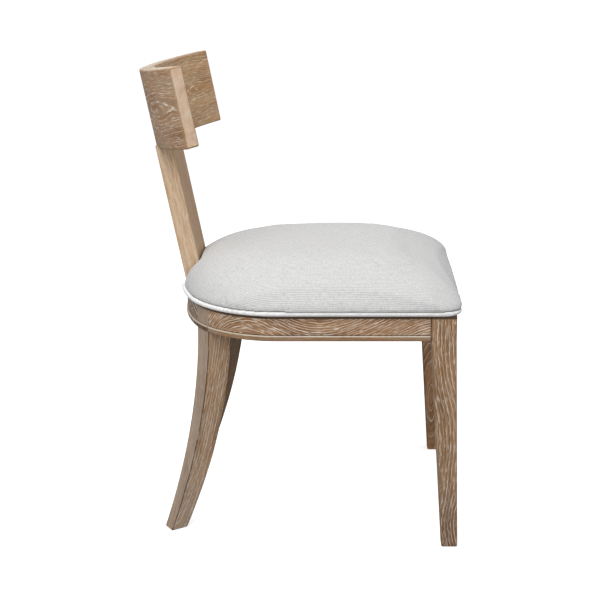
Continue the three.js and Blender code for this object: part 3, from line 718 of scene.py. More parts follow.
# The inner face's oak is a warmer copy of the leg's: painted shade for the brown shade under the seat.
WARM_SHADE_INNER_FACE = 5


def round_corner(centre_x, centre_y, first, arris):
    """The points of one rounded corner: a quarter turn that starts at an angle in degrees."""
    turns = [math.radians(first + 90 * i / ARRIS_STEPS) for i in range(ARRIS_STEPS + 1)]
    return [(centre_x + arris * math.cos(turn), centre_y + arris * math.sin(turn)) for turn in turns]


front_arches = {"swells": ((-0.17, -0.02, 0.07), (0.02, 0.008, 0.08)), "ring": 0.0052, "wander": 0.010}
for side, side_name in ((-1, "right"), (1, "left")):
    face, arris = oak_tones(
        f"limed_oak_front_leg_{side_name}", ((0.26, side * 0.225, 0.2), (0, -96, side * 20)), (0.012, -0.05),
        # The face darkens towards the foot: painted shade.
        ("", ("#755533", "#B5895F", "#A38A74", "#F8EBDC"), 1.35,
         {**front_arches, "foot": (-0.04, -0.15, 0.85, "#785A42")}),
        ("_arris", ("#74563C", "#9B7653", "#937E6B", "#D9CDBD"), 0.6, {"ring": 0.0060}),
    )
    # Painted shade in a warmer tone, with arches from this face's own grain.
    warm_shade_inner_face = limed_oak(
        f"limed_oak_front_leg_{side_name}_inner", ("#875D3A", "#C99665", "#B38E6B", "#E0D4C4"), 1.6,
        ((0.265, side * 0.202, 0.20), (0, -79, side * 90)), (0.0, -0.026),
        ring=0.0042, wander=0.004, stray=0.1,
    )
    rings = []
    for z in (0, LEG_ARRIS, RAIL_BOTTOM, FRAME_TOP - PAINTED_WELT_SHADOW_DEPTH, FRAME_TOP):
        share = max(0, 1 - z / RAIL_BOTTOM)
        size = FRONT_LEG_TOP + (FRONT_LEG_FOOT - FRONT_LEG_TOP) * share
        leg_front = FRAME_FRONT_X + FRONT_LEG_LEAN * share
        eased = LEG_ARRIS if z else 2 * LEG_ARRIS
        rear, front = leg_front - size + eased, leg_front - eased
        inner, outer = LEG_OUTER - size + eased, LEG_OUTER - eased
        corners = ((rear, inner, 180), (front, inner, 270), (front, outer, 0), (rear, outer, 90))
        outline = [point for x, y, first in corners for point in round_corner(x, y, first, LEG_ARRIS)]
        rings.append([(x, side * y, z) for x, y in outline])
    # The band just below the leg's top is painted shade, for the welt's shadow.
    painted_shadow_strip = len(rings) - 2

    def leg_slot(level, column):
        if level == painted_shadow_strip:
            return PAINTED_SHADE
        if column == ARRIS_STEPS:
            return WARM_SHADE_INNER_FACE
        return FACE if column % (ARRIS_STEPS + 1) == ARRIS_STEPS else ARRIS

    leg = wooden_piece(f"front_leg_{side_name}_oak", ringed_mesh("front_leg", rings, leg_slot),
                       (face, arris, face, lip_paste_and_highlight, painted_shade_oak, warm_shade_inner_face))
    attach(leg, "root")
    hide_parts(f"front_leg_{side_name}")

# Rear legs.
# Sabre legs of limed oak that sweep straight back. They are turned square to the seat's curve, so their
# outer face is part of it, with the bead cut across, and below the frame they taper to the foot.
REAR_LEG_FOOT_WIDTH = 0.028
REAR_LEG_TOP_DEPTH = 0.047
REAR_LEG_FOOT_DEPTH = 0.032
REAR_LEG_SWEEP = 0.076
REAR_LEG_LEVELS = 40
SWEEP_POWER = 1.8
POST_ARRIS = 0.0005
FACE_STEPS = 6
# The inside face takes a darker copy of the leg's oak: painted shade for the shade under the seat.
POST_FACE, PAINTED_SHADE_INSIDE_FACE = 5, 6
OUTER_COLUMNS = range(ARRIS_STEPS, ARRIS_STEPS + FACE_STEPS)
INSIDE_COLUMN = 3 * ARRIS_STEPS + FACE_STEPS + 1
SIDE_COLUMNS = (2 * ARRIS_STEPS + FACE_STEPS, 4 * ARRIS_STEPS + FACE_STEPS + 2)


def rear_leg_ring(z, bead, inset, side):
    """One level of the leg. The outer face follows the seat's curve at the frame and is flat at the foot."""
    share = max(0, 1 - z / RAIL_BOTTOM)
    half = (REAR_LEG_TOP_WIDTH + (REAR_LEG_FOOT_WIDTH - REAR_LEG_TOP_WIDTH) * share) / 2 - inset
    depth = REAR_LEG_TOP_DEPTH + (REAR_LEG_FOOT_DEPTH - REAR_LEG_TOP_DEPTH) * share ** 2 - inset
    arris = LEG_ARRIS if share > 0 else POST_ARRIS
    sweep = REAR_LEG_SWEEP * share ** SWEEP_POWER
    side_y = half - arris

    def sag(across):
        return (CORNER_ARC - math.sqrt(CORNER_ARC ** 2 - across ** 2)) * (1 - share)

    outer = bead - inset
    edge = outer - sag(side_y) - arris
    turns = [math.radians(90 * i / ARRIS_STEPS) for i in range(ARRIS_STEPS + 1)]
    points = [(edge + arris * math.sin(turn), -half + arris * (1 - math.cos(turn))) for turn in turns]
    for i in range(1, FACE_STEPS):
        across = side_y * (2 * i / FACE_STEPS - 1)
        points.append((outer - sag(across), across))
    points += [(edge + arris * math.cos(turn), half - arris * (1 - math.sin(turn))) for turn in turns]
    points += round_corner(arris - depth, side_y, 90, arris)
    points += round_corner(arris - depth, -side_y, 180, arris)
    return [(x - sweep, y, z) for x, y in (post_point(out, across, side) for out, across in points)]


for side, side_name in ((-1, "right"), (1, "left")):
    face, arris, shaded_inside_face, post_face = oak_tones(
        f"limed_oak_rear_leg_{side_name}", ((-0.2, side * 0.16, 0.2), (0, -82, side * -30)),
        (side * 0.07, 0.04),
        # The side faces pale towards the foot: painted light for the lamp light that they turn away from.
        ("", ("#8A6848", "#CFA67F", "#B69E88", "#F8ECDD"), 1.4,
         {"ring": 0.0046, "wander": 0.003, "foot": (-0.05, -0.16, 0.6, "#BFA997")}),
        ("_arris", ("#49331F", "#72573D", "#6F5E4E", "#C9BBA9"), 0.6, {"ring": 0.0032}),
        # Painted shade: the inside face's darker oak.
        ("_inside_painted_shade", ("#6A4F37", "#A07E60", "#8C7867", "#CDBFAD"), 0.9, {"ring": 0.0046, "wander": 0.003}),
        ("_outer_face", ("#8A725E", "#B9A08A", "#AD9B89", "#E2D6C8"), 1.1,
         {"ring": 0.0018, "wander": 0.003, "stray": 0.25}),
    )
    tapered = RAIL_BOTTOM - 2 * LEG_ARRIS
    levels = [(0, 0, LEG_ARRIS)]
    levels += [(LEG_ARRIS + tapered * i / REAR_LEG_LEVELS, 0, 0) for i in range(REAR_LEG_LEVELS + 1)]
    first_top = len(levels)
    levels += [(z, offset, 0) for offset, z in rail_section()[FIRST_OF_BEAD:LAST_OF_BEAD + 6]]
    rings = [rear_leg_ring(*level, side) for level in levels]

    def leg_slot(level, column):
        # At the frame the post face takes the rail's bead, lip and strips of painted shade.
        if column in OUTER_COLUMNS:
            slot = section_slot(level - first_top + FIRST_OF_BEAD) if level >= first_top else FACE
            return POST_FACE if slot == FACE else slot
        if column == INSIDE_COLUMN:
            return PAINTED_SHADE_INSIDE_FACE
        return FACE if column in SIDE_COLUMNS else ARRIS

    leg = wooden_piece(f"rear_leg_{side_name}_oak", ringed_mesh("rear_leg", rings, leg_slot),
                       (face, arris, face, lip_paste_and_highlight, painted_shade_oak, post_face, shaded_inside_face))
    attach(leg, "root")
    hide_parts(f"rear_leg_{side_name}")

# Corner blocks and dowels.
# Raw beech inside the frame: four glued blocks that brace the corners and carry the seat, and eighteen
# dowels in the joints. They come over from the CAD and only get their wood.


def raw_beech(name, turn):
    """Unfinished beech: pinkish tan with short brown flecks along the grain, matt."""
    material, tree = empty_material(name)
    place = add_node(tree, "ShaderNodeTexCoord").outputs["Object"]
    turned = add_node(tree, "ShaderNodeMapping", {
        "Vector": place, "Rotation": [math.radians(angle) for angle in turn],
    })
    grain = streaks(tree, turned, (25.0, 220.0, 220.0), 3.0)
    flecks = streaks(tree, turned, (160.0, 900.0, 900.0), 1.0)
    spots = add_node(tree, "ShaderNodeMapRange", {"Value": flecks, "From Min": 0.58, "From Max": 0.7})
    body = add_node(tree, "ShaderNodeMix", {0: grain, 6: "#B98F68", 7: "#D9B88F"}, data_type="RGBA")
    colour = add_node(tree, "ShaderNodeMix", {0: spots, 6: body, 7: "#9A6C48"}, data_type="RGBA")
    bump = add_node(tree, "ShaderNodeBump", {"Height": grain, "Strength": 0.3, "Distance": 0.0003})
    skin = add_node(tree, "ShaderNodeBsdfPrincipled", {
        "Base Color": colour, "Roughness": 0.7, "IOR": 1.5, "Normal": bump,
    })
    add_node(tree, "ShaderNodeOutputMaterial", {"Surface": skin})
    return material


def give_material(node, material):
    """Sets the material of a part that comes over from the CAD."""
    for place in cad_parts[node].material_slots:
        place.material = material


for side, side_name in ((-1, "right"), (1, "left")):
    block_wood = raw_beech(f"raw_beech_blocks_{side_name}", (0, 0, side * 45))
    dowel_wood = raw_beech(f"raw_beech_dowels_{side_name}", (0, 0, side * 90))
    for end in ("front", "rear"):
        give_material(f"corner_block_{end}_{side_name}", block_wood)
    for joint in ("front", "side", "post_side", "post_back"):
        for count in (1, 2):
            give_material(f"dowel_{joint}_{side_name}_{count}", dowel_wood)
crest_dowel_wood = raw_beech("raw_beech_crest_dowels", (0, 90, 0))
for count in (1, 2):
    give_material(f"crest_dowel_{count}", crest_dowel_wood)

# Screws.
# Zinc-plated wood screws with a pan head and a cross recess. One through each block into its leg, and one up
# through each block into the seat board.
SCREW_SHANK = 0.0024
SCREW_HEAD = 0.0046
SCREW_HEAD_HEIGHT = 0.0028
CROWN_SHARE = 0.6
RECESS_SHARE = 0.22
BLOCK_SCREW_LENGTH = 0.048
SEAT_SCREW_LENGTH = 0.052
BLOCK_BOTTOM = 0.396
BLOCK_MIDDLE = 0.413
FRONT_BLOCK_FACE = (-0.0613, 0.1857)
REAR_BLOCK_FACE = -0.0713
FRONT_SEAT_SCREW = (-0.03733, 0.1835)
REAR_SEAT_SCREW = (-0.0475, -0.033)

# Zinc plate: pale grey metal with a faint cloudy sheen.
zinc, tree = empty_material("zinc_plated_steel")
place = add_node(tree, "ShaderNodeTexCoord").outputs["Object"]
clouds = add_node(tree, "ShaderNodeTexNoise", {"Vector": place, "Scale": 700.0, "Detail": 3.0})
tone = add_node(tree, "ShaderNodeMix", {0: clouds, 6: "#9EA3A8", 7: "#BFC4C6"}, data_type="RGBA")
rough = add_node(tree, "ShaderNodeMapRange", {"Value": clouds, "To Min": 0.3, "To Max": 0.5})
skin = add_node(tree, "ShaderNodeBsdfPrincipled", {"Base Color": tone, "Metallic": 1.0, "Roughness": rough})
add_node(tree, "ShaderNodeOutputMaterial", {"Surface": skin})


def points_with_ways(name, way_name, places):
    """A mesh of loose points, each given with a direction, which it holds as an attribute."""
    mesh = new_mesh(name, [point for point, _ in places])
    ways = mesh.attributes.new(way_name, "FLOAT_VECTOR", "POINT")
    ways.data.foreach_set("vector", [share for _, way in places for share in way])
    return mesh


def set_on_points(tree, points, shapes, way_name, axis, pivot="AUTO"):
    """Joins shapes, and sets the whole on points with one of its axes turned to each point's direction."""
    whole = add_node(tree, "GeometryNodeJoinGeometry")
    for shape in shapes:
        tree.links.new(shape.outputs[0], whole.inputs[0])
    way = add_node(tree, "GeometryNodeInputNamedAttribute", {"Name": way_name}, data_type="FLOAT_VECTOR")
    aimed = add_node(tree, "FunctionNodeAlignRotationToVector", {"Vector": way}, axis=axis, pivot_axis=pivot)
    return add_node(tree, "GeometryNodeInstanceOnPoints", {
        "Points": points, "Instance": whole, "Rotation": aimed,
    })


screws, given = shape_tree("screws_along_axes", {
    "Places": "Geometry", "Length": "Float", "Shank Radius": "Float", "Head Radius": "Float",
    "Head Height": "Float", "Material": "Material",
})
shank = add_node(screws, "GeometryNodeMeshCylinder", {
    "Vertices": 16, "Radius": given["Shank Radius"], "Depth": given["Length"],
})
half_length = in_turn(screws, "ShaderNodeMath", given["Length"], ("MULTIPLY", 0.5))
up = add_node(screws, "ShaderNodeCombineXYZ", {2: half_length})
shank_placed = add_node(screws, "GeometryNodeTransform", {0: shank, "Translation": up})
crown, bar_wide = (
    in_turn(screws, "ShaderNodeMath", given["Head Radius"], ("MULTIPLY", share))
    for share in (CROWN_SHARE, RECESS_SHARE)
)
head = add_node(screws, "GeometryNodeMeshCone", {
    "Vertices": 24, "Side Segments": 3, "Radius Top": given["Head Radius"], "Radius Bottom": crown,
    "Depth": given["Head Height"],
})
down = in_turn(screws, "ShaderNodeMath", given["Head Height"], ("MULTIPLY", -1.0))
below = add_node(screws, "ShaderNodeCombineXYZ", {2: down})
head_placed = add_node(screws, "GeometryNodeTransform", {0: head, "Translation": below})
recessed = add_node(screws, "GeometryNodeMeshBoolean", {0: head_placed}, operation="DIFFERENCE",
                    solver="EXACT")
for size_x, size_y in ((given["Head Radius"], bar_wide), (bar_wide, given["Head Radius"])):
    bar_size = add_node(screws, "ShaderNodeCombineXYZ", {0: size_x, 1: size_y, 2: given["Head Height"]})
    bar = add_node(screws, "GeometryNodeMeshCube", {0: bar_size})
    bar_placed = add_node(screws, "GeometryNodeTransform", {0: bar, "Translation": below})
    screws.links.new(bar_placed.outputs[0], recessed.inputs[1])
placed = set_on_points(screws, given["Places"], (shank_placed, recessed), "axis", "Z")
end_tree(screws, placed, given["Material"])

# Each screw is given as the point under its head and the way that it runs.
diagonal = math.sqrt(0.5)
block_places, seat_places, block_nodes, seat_nodes = [], [], [], []
for side, side_name in ((-1, "right"), (1, "left")):
    block_places += [
        ((FRAME_FRONT_X + FRONT_BLOCK_FACE[0], side * FRONT_BLOCK_FACE[1], BLOCK_MIDDLE),
         (diagonal, side * diagonal, 0)),
        ((*post_point(REAR_BLOCK_FACE, 0, side), BLOCK_MIDDLE), (post_out[0], side * post_out[1], 0)),
    ]
    seat_places += [
        ((FRAME_FRONT_X + FRONT_SEAT_SCREW[0], side * FRONT_SEAT_SCREW[1], BLOCK_BOTTOM), (0, 0, 1)),
        ((*post_point(*REAR_SEAT_SCREW, side), BLOCK_BOTTOM), (0, 0, 1)),
    ]
    block_nodes += [f"block_screw_front_{side_name}", f"block_screw_rear_{side_name}"]
    seat_nodes += [f"seat_screw_front_{side_name}", f"seat_screw_rear_{side_name}"]
for name, length, places, nodes in (
    ("block_screws_steel", BLOCK_SCREW_LENGTH, block_places, block_nodes),
    ("seat_screws_steel", SEAT_SCREW_LENGTH, seat_places, seat_nodes),
):
    made = add_object(name, run_tree(screws, name, points_with_ways(name, "axis", places), {
        "Length": length, "Shank Radius": SCREW_SHANK, "Head Radius": SCREW_HEAD,
        "Head Height": SCREW_HEAD_HEIGHT, "Material": zinc,
    }))
    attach(made, "root")
    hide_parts(*nodes)

# Seat board and dust cover.
# A birch plywood board carries the cushion. A black non-woven cloth, stapled to the rails, closes the seat
# from below. Board and cloth come over from the CAD and get their material here; the staples are made here.
BOARD_BOTTOM = 0.4382
BOARD_TOP = 0.4502
PLIES = 9

# Birch plywood: pale veneer faces, and thin brown glue lines between the plies at the edge.
plywood, tree = empty_material("birch_plywood")
place = add_node(tree, "ShaderNodeTexCoord").outputs["Object"]
veneer = streaks(tree, place, (6.0, 90.0, 20.0), 4.0)
height = add_node(tree, "ShaderNodeSeparateXYZ", {0: place}).outputs[2]
ply = (BOARD_TOP - BOARD_BOTTOM) / PLIES
share = in_turn(tree, "ShaderNodeMath", height, ("DIVIDE", ply), ("FRACT",))
glue = add_node(tree, "ShaderNodeMapRange", {"Value": share, "From Min": 0.88, "From Max": 0.95})
pale = add_node(tree, "ShaderNodeMix", {0: veneer, 6: "#CDA877", 7: "#E4C99E"}, data_type="RGBA")
faint = in_turn(tree, "ShaderNodeMath", glue, ("MULTIPLY", 0.6))
colour = add_node(tree, "ShaderNodeMix", {0: faint, 6: pale, 7: "#7A5632"}, data_type="RGBA")
skin = add_node(tree, "ShaderNodeBsdfPrincipled", {"Base Color": colour, "Roughness": 0.65, "IOR": 1.5})
add_node(tree, "ShaderNodeOutputMaterial", {"Surface": skin})
give_material("seat_board", plywood)

# Black non-woven cloth: near-black with a grid of tiny pressed dots, drawn 3 mm apart, coarser than real
# ones.
cambric, tree = empty_material("black_nonwoven_cloth")
place = add_node(tree, "ShaderNodeTexCoord").outputs["Object"]
dots = add_node(tree, "ShaderNodeTexVoronoi", {"Vector": place, "Scale": 330.0, "Randomness": 0.1})
pressed = add_node(tree, "ShaderNodeMapRange", {"Value": dots, "From Min": 0.2, "From Max": 0.4})
felted = add_node(tree, "ShaderNodeTexNoise", {"Vector": place, "Scale": 400.0, "Detail": 4.0})
tone = add_node(tree, "ShaderNodeMix", {0: felted, 6: "#17171A", 7: "#2A2A2E"}, data_type="RGBA")
bump = add_node(tree, "ShaderNodeBump", {"Height": pressed, "Strength": 0.6, "Distance": 0.0003})
skin = add_node(tree, "ShaderNodeBsdfPrincipled", {
    "Base Color": tone, "Roughness": 0.85, "IOR": 1.45, "Normal": bump,
})
add_node(tree, "ShaderNodeOutputMaterial", {"Surface": skin})
give_material("dust_cover", cambric)

STAPLE_CROWN = 0.010
STAPLE_LEG = 0.002
STAPLE_WIRE = 0.0008
STAPLE_SPACING = 0.040
STAPLE_OFFSET = -0.033
STAPLE_CORNER = 0.012
STAPLE_JITTER = math.radians(7)
JITTER_STEP = 7
COVER_BOTTOM = 0.4371
FRONT_BLOCK = (FRAME_FRONT_X - 0.044, 0.2015)
BLOCK_REACH = 0.058
NOTCH_HALF = 0.062
REAR_STEPS, SIDE_STEPS, CORNER_STEPS, FRONT_STEPS = 60, 30, 24, 20


def half_seat_outline(offset, corner_radius, start=0.0):
    """The left half of the seat's outline, moved out by the offset. It starts from an angle at the back."""
    curve = (math.pi / 2 - start) / REAR_STEPS
    points = [frame_curve(start + curve * i, offset) for i in range(REAR_STEPS + 1)]
    front = FRAME_FRONT_X + offset - corner_radius
    side_y = FRAME_HALF_WIDTH + offset - corner_radius
    straight = (front - corner_x) / SIDE_STEPS
    points += [(corner_x + straight * i, FRAME_HALF_WIDTH + offset) for i in range(1, SIDE_STEPS)]
    for i in range(CORNER_STEPS + 1):
        turn = math.radians(90 * (1 - i / CORNER_STEPS))
        points.append((front + corner_radius * math.cos(turn), side_y + corner_radius * math.sin(turn)))
    points += [(FRAME_FRONT_X + offset, side_y * (1 - i / FRONT_STEPS)) for i in range(1, FRONT_STEPS + 1)]
    return points


def seat_outline(offset, corner_radius):
    """The whole outline, once round from the middle of the back."""
    half = half_seat_outline(offset, corner_radius)
    return half + [(x, -y) for x, y in half[-2:0:-1]]


# Staples: flat steel wire, one every 40 mm along the cloth's edge, except over the blocks and at the splat.
staples, given = shape_tree("staples_along_edge", {
    "Places": "Geometry", "Crown": "Float", "Leg": "Float", "Wire": "Float", "Material": "Material",
})
crown_size, leg_size = (
    add_node(staples, "ShaderNodeCombineXYZ", {0: given[x], 1: given["Wire"], 2: given[z]})
    for x, z in (("Crown", "Wire"), ("Wire", "Leg"))
)
leg_lift = in_turn(staples, "ShaderNodeMath", given["Leg"], ("MULTIPLY", 0.5))
reach = in_turn(staples, "ShaderNodeMath", given["Crown"], ("SUBTRACT", given["Wire"]))
bars = [add_node(staples, "GeometryNodeMeshCube", {0: crown_size})]
for way in (-0.5, 0.5):
    leg_bar = add_node(staples, "GeometryNodeMeshCube", {0: leg_size})
    aside = in_turn(staples, "ShaderNodeMath", reach, ("MULTIPLY", way))
    leg_place = add_node(staples, "ShaderNodeCombineXYZ", {0: aside, 2: leg_lift})
    bars.append(add_node(staples, "GeometryNodeTransform", {0: leg_bar, "Translation": leg_place}))
placed = set_on_points(staples, given["Places"], bars, "along", "X", "Z")
end_tree(staples, placed, given["Material"])

edge = seat_outline(STAPLE_OFFSET, STAPLE_CORNER)
blocks = (post_point(REAR_BLOCK_FACE / 2, 0, 1), FRONT_BLOCK)
staple_places = []
since_last = STAPLE_SPACING / 2
for (x0, y0), (x1, y1) in zip(edge, edge[1:] + edge[:1]):
    length = math.hypot(x1 - x0, y1 - y0)
    while since_last + length >= STAPLE_SPACING:
        share = (STAPLE_SPACING - since_last) / length
        x0, y0 = x0 + (x1 - x0) * share, y0 + (y1 - y0) * share
        length, since_last = length * (1 - share), 0
        over_block = min(math.dist((x0, abs(y0)), block) for block in blocks) < BLOCK_REACH
        if not over_block and not (x0 < 0 and abs(y0) < NOTCH_HALF):
            turn = math.atan2(y1 - y0, x1 - x0) + STAPLE_JITTER * math.sin(JITTER_STEP * len(staple_places))
            way = (math.cos(turn), math.sin(turn), 0)
            staple_places.append(((x0, y0, COVER_BOTTOM - STAPLE_WIRE / 2), way))
    since_last += length
staple_points = points_with_ways("cloth_staples", "along", staple_places)
cloth_staples = add_object("cloth_staples_steel", run_tree(staples, "cloth_staples_steel", staple_points, {
    "Crown": STAPLE_CROWN, "Leg": STAPLE_LEG, "Wire": STAPLE_WIRE, "Material": zinc,
}))
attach(cloth_staples, "root")

# Seat cushion.
# Pale woven linen pulled over a crowned foam pad. The cover comes down tight behind the welt, turns under the
# board, and is notched round the splat. The pad is blown up as cloth from a slightly smaller shape.
CUSHION_BASE = 0.4430
CUSHION_FOOT = 0.4465
CUSHION_BULGE = 0.0104
CUSHION_CROWN = 0.0690
CUSHION_CENTRE = 0.557
CUSHION_TILT = 0.028
FOOT_INSET = 0.002
FRONT_BULGE = 0.0020
REAR_BULGE = -0.0055
CROWN_POWER = 4.6
CROWN_EDGE_POWER = 0.77
BASE_CORNER = 0.036
TOP_CORNER = 0.110
CORNER_GROWTH = 0.25
REAR_FULLNESS = 0.58
FRONT_FULLNESS = -0.06
FRONT_EASE = 0.7
SPLAT_ROOM = 0.0018
PAD_VOXEL = 0.005
PAD_PRESSURE = 4.0
PAD_FRAMES = 20
HELD_MARGIN = 0.004
HELD_HEIGHT = 0.001
NOTCH_REAR = -0.1
NOTCH_HEIGHTS = (-0.05, 0.2)
SWELL_LIMIT = 0.005
WELT_RADIUS = 0.0045
WELT_OFFSET = 0.005
WELT_HEIGHT = 0.4408
WELT_CORNER = 0.024
SEAM_GAP = 0.0002
SEAM_SHADE_WIDTH = 0.0026
SPLAT_SHADE_WIDTH = 0.005
BOARD_OFFSET = -0.0017
BOARD_CORNER = 0.046
BOARD_GAP = 0.0004
DENT_DEPTH = 0.0010
DENTS_PER_METRE = 14
DENT_FADE = 0.02
DENT_PATTERN = 3.0
PUCKER_DEPTH = 0.0009
PUCKER_REACH = 0.016
PUCKERS_PER_METRE = 85
PUCKERS_UPWARDS = 9
PUCKER_FADE = 1.5
RIDGE_HEIGHT = 0.037
RIDGE_SWELL = 0.0020
RIDGE_WIDTH = 0.0085
RIDGE_REACH = 0.22
RIDGE_MIDDLE_X = 0.05
RIDGE_REAR_X = -0.12
RIDGE_FADE = 0.012
LEVEL_CLOTH = 0.01
THREAD_PITCH = 0.0046
THREAD_WOBBLE = 0.003

cushion_centre = FRAME_FRONT_X - FRAME_DEPTH * CUSHION_CENTRE


def pad_outline(offset, corner_radius):
    """The pad's outline, a little fuller at the front edge and leaner at the back than the seat's."""
    points = []
    for x, y in seat_outline(offset, corner_radius):
        reach = math.hypot(x - cushion_centre, y)
        forward = (x - cushion_centre) / reach
        extra = FRONT_BULGE * max(forward, 0) ** 3 + REAR_BULGE * max(-forward, 0) ** 2
        points.append((x + forward * extra, y + y / reach * extra))
    return points


def crown_ring(share, offset, height):
    """One ring of the crowned pad. The rings shrink to the middle while they rise, steepest at the back."""
    corner = BASE_CORNER + (TOP_CORNER - BASE_CORNER) * min(1, share / CORNER_GROWTH)
    ring = []
    for x, y in pad_outline(offset, corner):
        forward = (x - cushion_centre) / math.hypot(x - cushion_centre, y)
        fullness = (FRONT_FULLNESS if forward > 0 else REAR_FULLNESS) * forward ** 2
        steepened = min(1, share * (1 + fullness * (1 - share)))
        power = CROWN_POWER - FRONT_EASE * max(forward, 0) ** 2
        rise = (1 - (1 - steepened) ** power) ** CROWN_EDGE_POWER
        ahead = (x - cushion_centre) * (1 - share)
        lift = height * rise + CUSHION_TILT * ahead * rise
        ring.append((cushion_centre + ahead, y * (1 - share), CUSHION_FOOT + lift))
    return ring


def seat_offset(x, y, corner_radius):
    """How far a place in plan lies outside the frame's outline, taken with rounded front corners."""
    y = abs(y)
    if x > corner_x:
        past_side = y - FRAME_HALF_WIDTH + corner_radius
        past_front = x - FRAME_FRONT_X + corner_radius
        if past_side > 0 and past_front > 0:
            return math.hypot(past_side, past_front) - corner_radius
        return max(past_side, past_front) - corner_radius
    if math.atan2(y, rear_arc_x - x) < corner_angle:
        return math.hypot(x - rear_arc_x, y) - REAR_ARC
    return math.hypot(x - corner_x, y - corner_y) - CORNER_ARC


def woven_linen(name, dark, light, attribute=None):
    """Plain woven linen, off-white and matt.

    The eye sees fine ribs that run from front to back, with slightly thicker threads here and there, and a
    darker line of painted shade where the cloth meets the welt and beside the splat. The ribs are drawn
    4.6 mm apart, coarser than real ones, so that they show.
    """
    material, tree = empty_material(name)
    if attribute:
        place = add_node(tree, "ShaderNodeAttribute", attribute_name=attribute).outputs["Vector"]
    else:
        place = add_node(tree, "ShaderNodeTexCoord").outputs["Object"]
    wobble = add_node(tree, "ShaderNodeTexNoise", {"Vector": place, "Scale": 50.0, "Detail": 1.0})
    bent = in_turn(tree, "ShaderNodeVectorMath", wobble.outputs["Color"], ("SUBTRACT", (0.5, 0.5, 0.5)),
                   ("MULTIPLY", (THREAD_WOBBLE, THREAD_WOBBLE, 0.0)), ("ADD", place))
    across = add_node(tree, "ShaderNodeSeparateXYZ", {0: bent}).outputs[1]
    wave = in_turn(tree, "ShaderNodeMath", across, ("MULTIPLY", 2 * math.pi / THREAD_PITCH), ("SINE",))
    weave = add_node(tree, "ShaderNodeMapRange", {"Value": wave, "From Min": -1.0})
    fine = streaks(tree, bent, (70.0, 480.0, 70.0), 1.0)
    coarse = streaks(tree, bent, (480.0, 80.0, 80.0), 1.0)
    slubs = in_turn(tree, "ShaderNodeMath", fine, ("MULTIPLY_ADD", 1.5, coarse))
    mixed = in_turn(tree, "ShaderNodeMath", weave, ("MULTIPLY", coarse), ("MULTIPLY_ADD", 2.4, slubs))
    tone = add_node(tree, "ShaderNodeMapRange", {"Value": mixed, "From Min": 1.35, "From Max": 2.25})
    cloth = add_node(tree, "ShaderNodeMix", {0: tone, 6: dark, 7: light}, data_type="RGBA")
    # Painted shade: where the seam attribute is high, the cloth turns grey-brown.
    painted_seam_shade_share = add_node(tree, "ShaderNodeAttribute", attribute_name="seam").outputs["Fac"]
    colour = add_node(tree, "ShaderNodeMix", {0: painted_seam_shade_share, 6: cloth, 7: "#5E5B58"}, data_type="RGBA")
    bump = add_node(tree, "ShaderNodeBump", {"Height": mixed, "Strength": 0.4, "Distance": 0.0006})
    skin = add_node(tree, "ShaderNodeBsdfPrincipled", {
        "Base Color": colour, "Roughness": 0.9, "IOR": 1.45, "Specular IOR Level": 0.2,
        "Sheen Weight": 0.15, "Sheen Roughness": 0.5, "Normal": bump,
    })
    add_node(tree, "ShaderNodeOutputMaterial", {"Surface": skin})
    return material


shares = [
    0, 0.006, 0.014, 0.024, 0.038, 0.056, 0.08, 0.11, 0.15,
    0.2, 0.26, 0.33, 0.41, 0.5, 0.6, 0.7, 0.8, 0.9,
]
rings = [[(x, y, CUSHION_BASE) for x, y in pad_outline(CUSHION_BULGE - FOOT_INSET, BASE_CORNER)]]
rings += [crown_ring(share, CUSHION_BULGE, CUSHION_CROWN) for share in shares]
pad_mesh = ringed_mesh("seat_pad", rings)
turn_outwards(pad_mesh)
pad = add_object("seat_pad_rough", pad_mesh)

# A block takes the splat's room out of the pad, open to the rear.
room_half, room_depth = half_width + SPLAT_ROOM, SPLAT_THICKNESS + SPLAT_ROOM
notch_mesh = new_mesh("splat_notch", [
    tuple(raked @ Vector((x, y, z)))
    for x in (NOTCH_REAR, room_depth) for y in (-room_half, room_half) for z in NOTCH_HEIGHTS
], faces=[(0, 1, 3, 2), (4, 6, 7, 5), (0, 4, 5, 1), (2, 3, 7, 6), (0, 2, 6, 4), (1, 5, 7, 3)])
turn_outwards(notch_mesh)
notch = add_object("splat_notch", notch_mesh)
notched = pad.modifiers.new("notched", "BOOLEAN")
notched.operation = "DIFFERENCE"
notched.solver = "EXACT"
notched.object = notch
even = pad.modifiers.new("even", "REMESH")
even.mode = "VOXEL"
even.voxel_size = PAD_VOXEL
pad = add_object("seat_pad", plain_mesh(pad, "seat_pad"))
bpy.data.objects.remove(notch)
before = np.array([vertex.co for vertex in pad.data.vertices])
outward = np.array([vertex.normal for vertex in pad.data.vertices])

held = pad.vertex_groups.new(name="held")
for vertex in pad.data.vertices:
    x, y, z = vertex.co
    by_splat = x < front_x + HELD_MARGIN and abs(y) < half_width + HELD_MARGIN
    held.add([vertex.index], 1.0 if z < CUSHION_FOOT + HELD_HEIGHT or by_splat else 0.0, "REPLACE")
cloth = pad.modifiers.new("cloth", "CLOTH")
cloth.settings.quality = 5
cloth.settings.mass = 0.3
cloth.settings.use_pressure = True
cloth.settings.uniform_pressure_force = PAD_PRESSURE
cloth.settings.effector_weights.gravity = 0
cloth.settings.vertex_group_mass = "held"
cloth.collision_settings.use_collision = False
cloth.point_cache.frame_start = 1
cloth.point_cache.frame_end = PAD_FRAMES
for step in range(1, PAD_FRAMES + 1):
    scene.frame_set(step)
pad = add_object("seat_pad", plain_mesh(pad, "seat_pad"))
scene.frame_set(1)

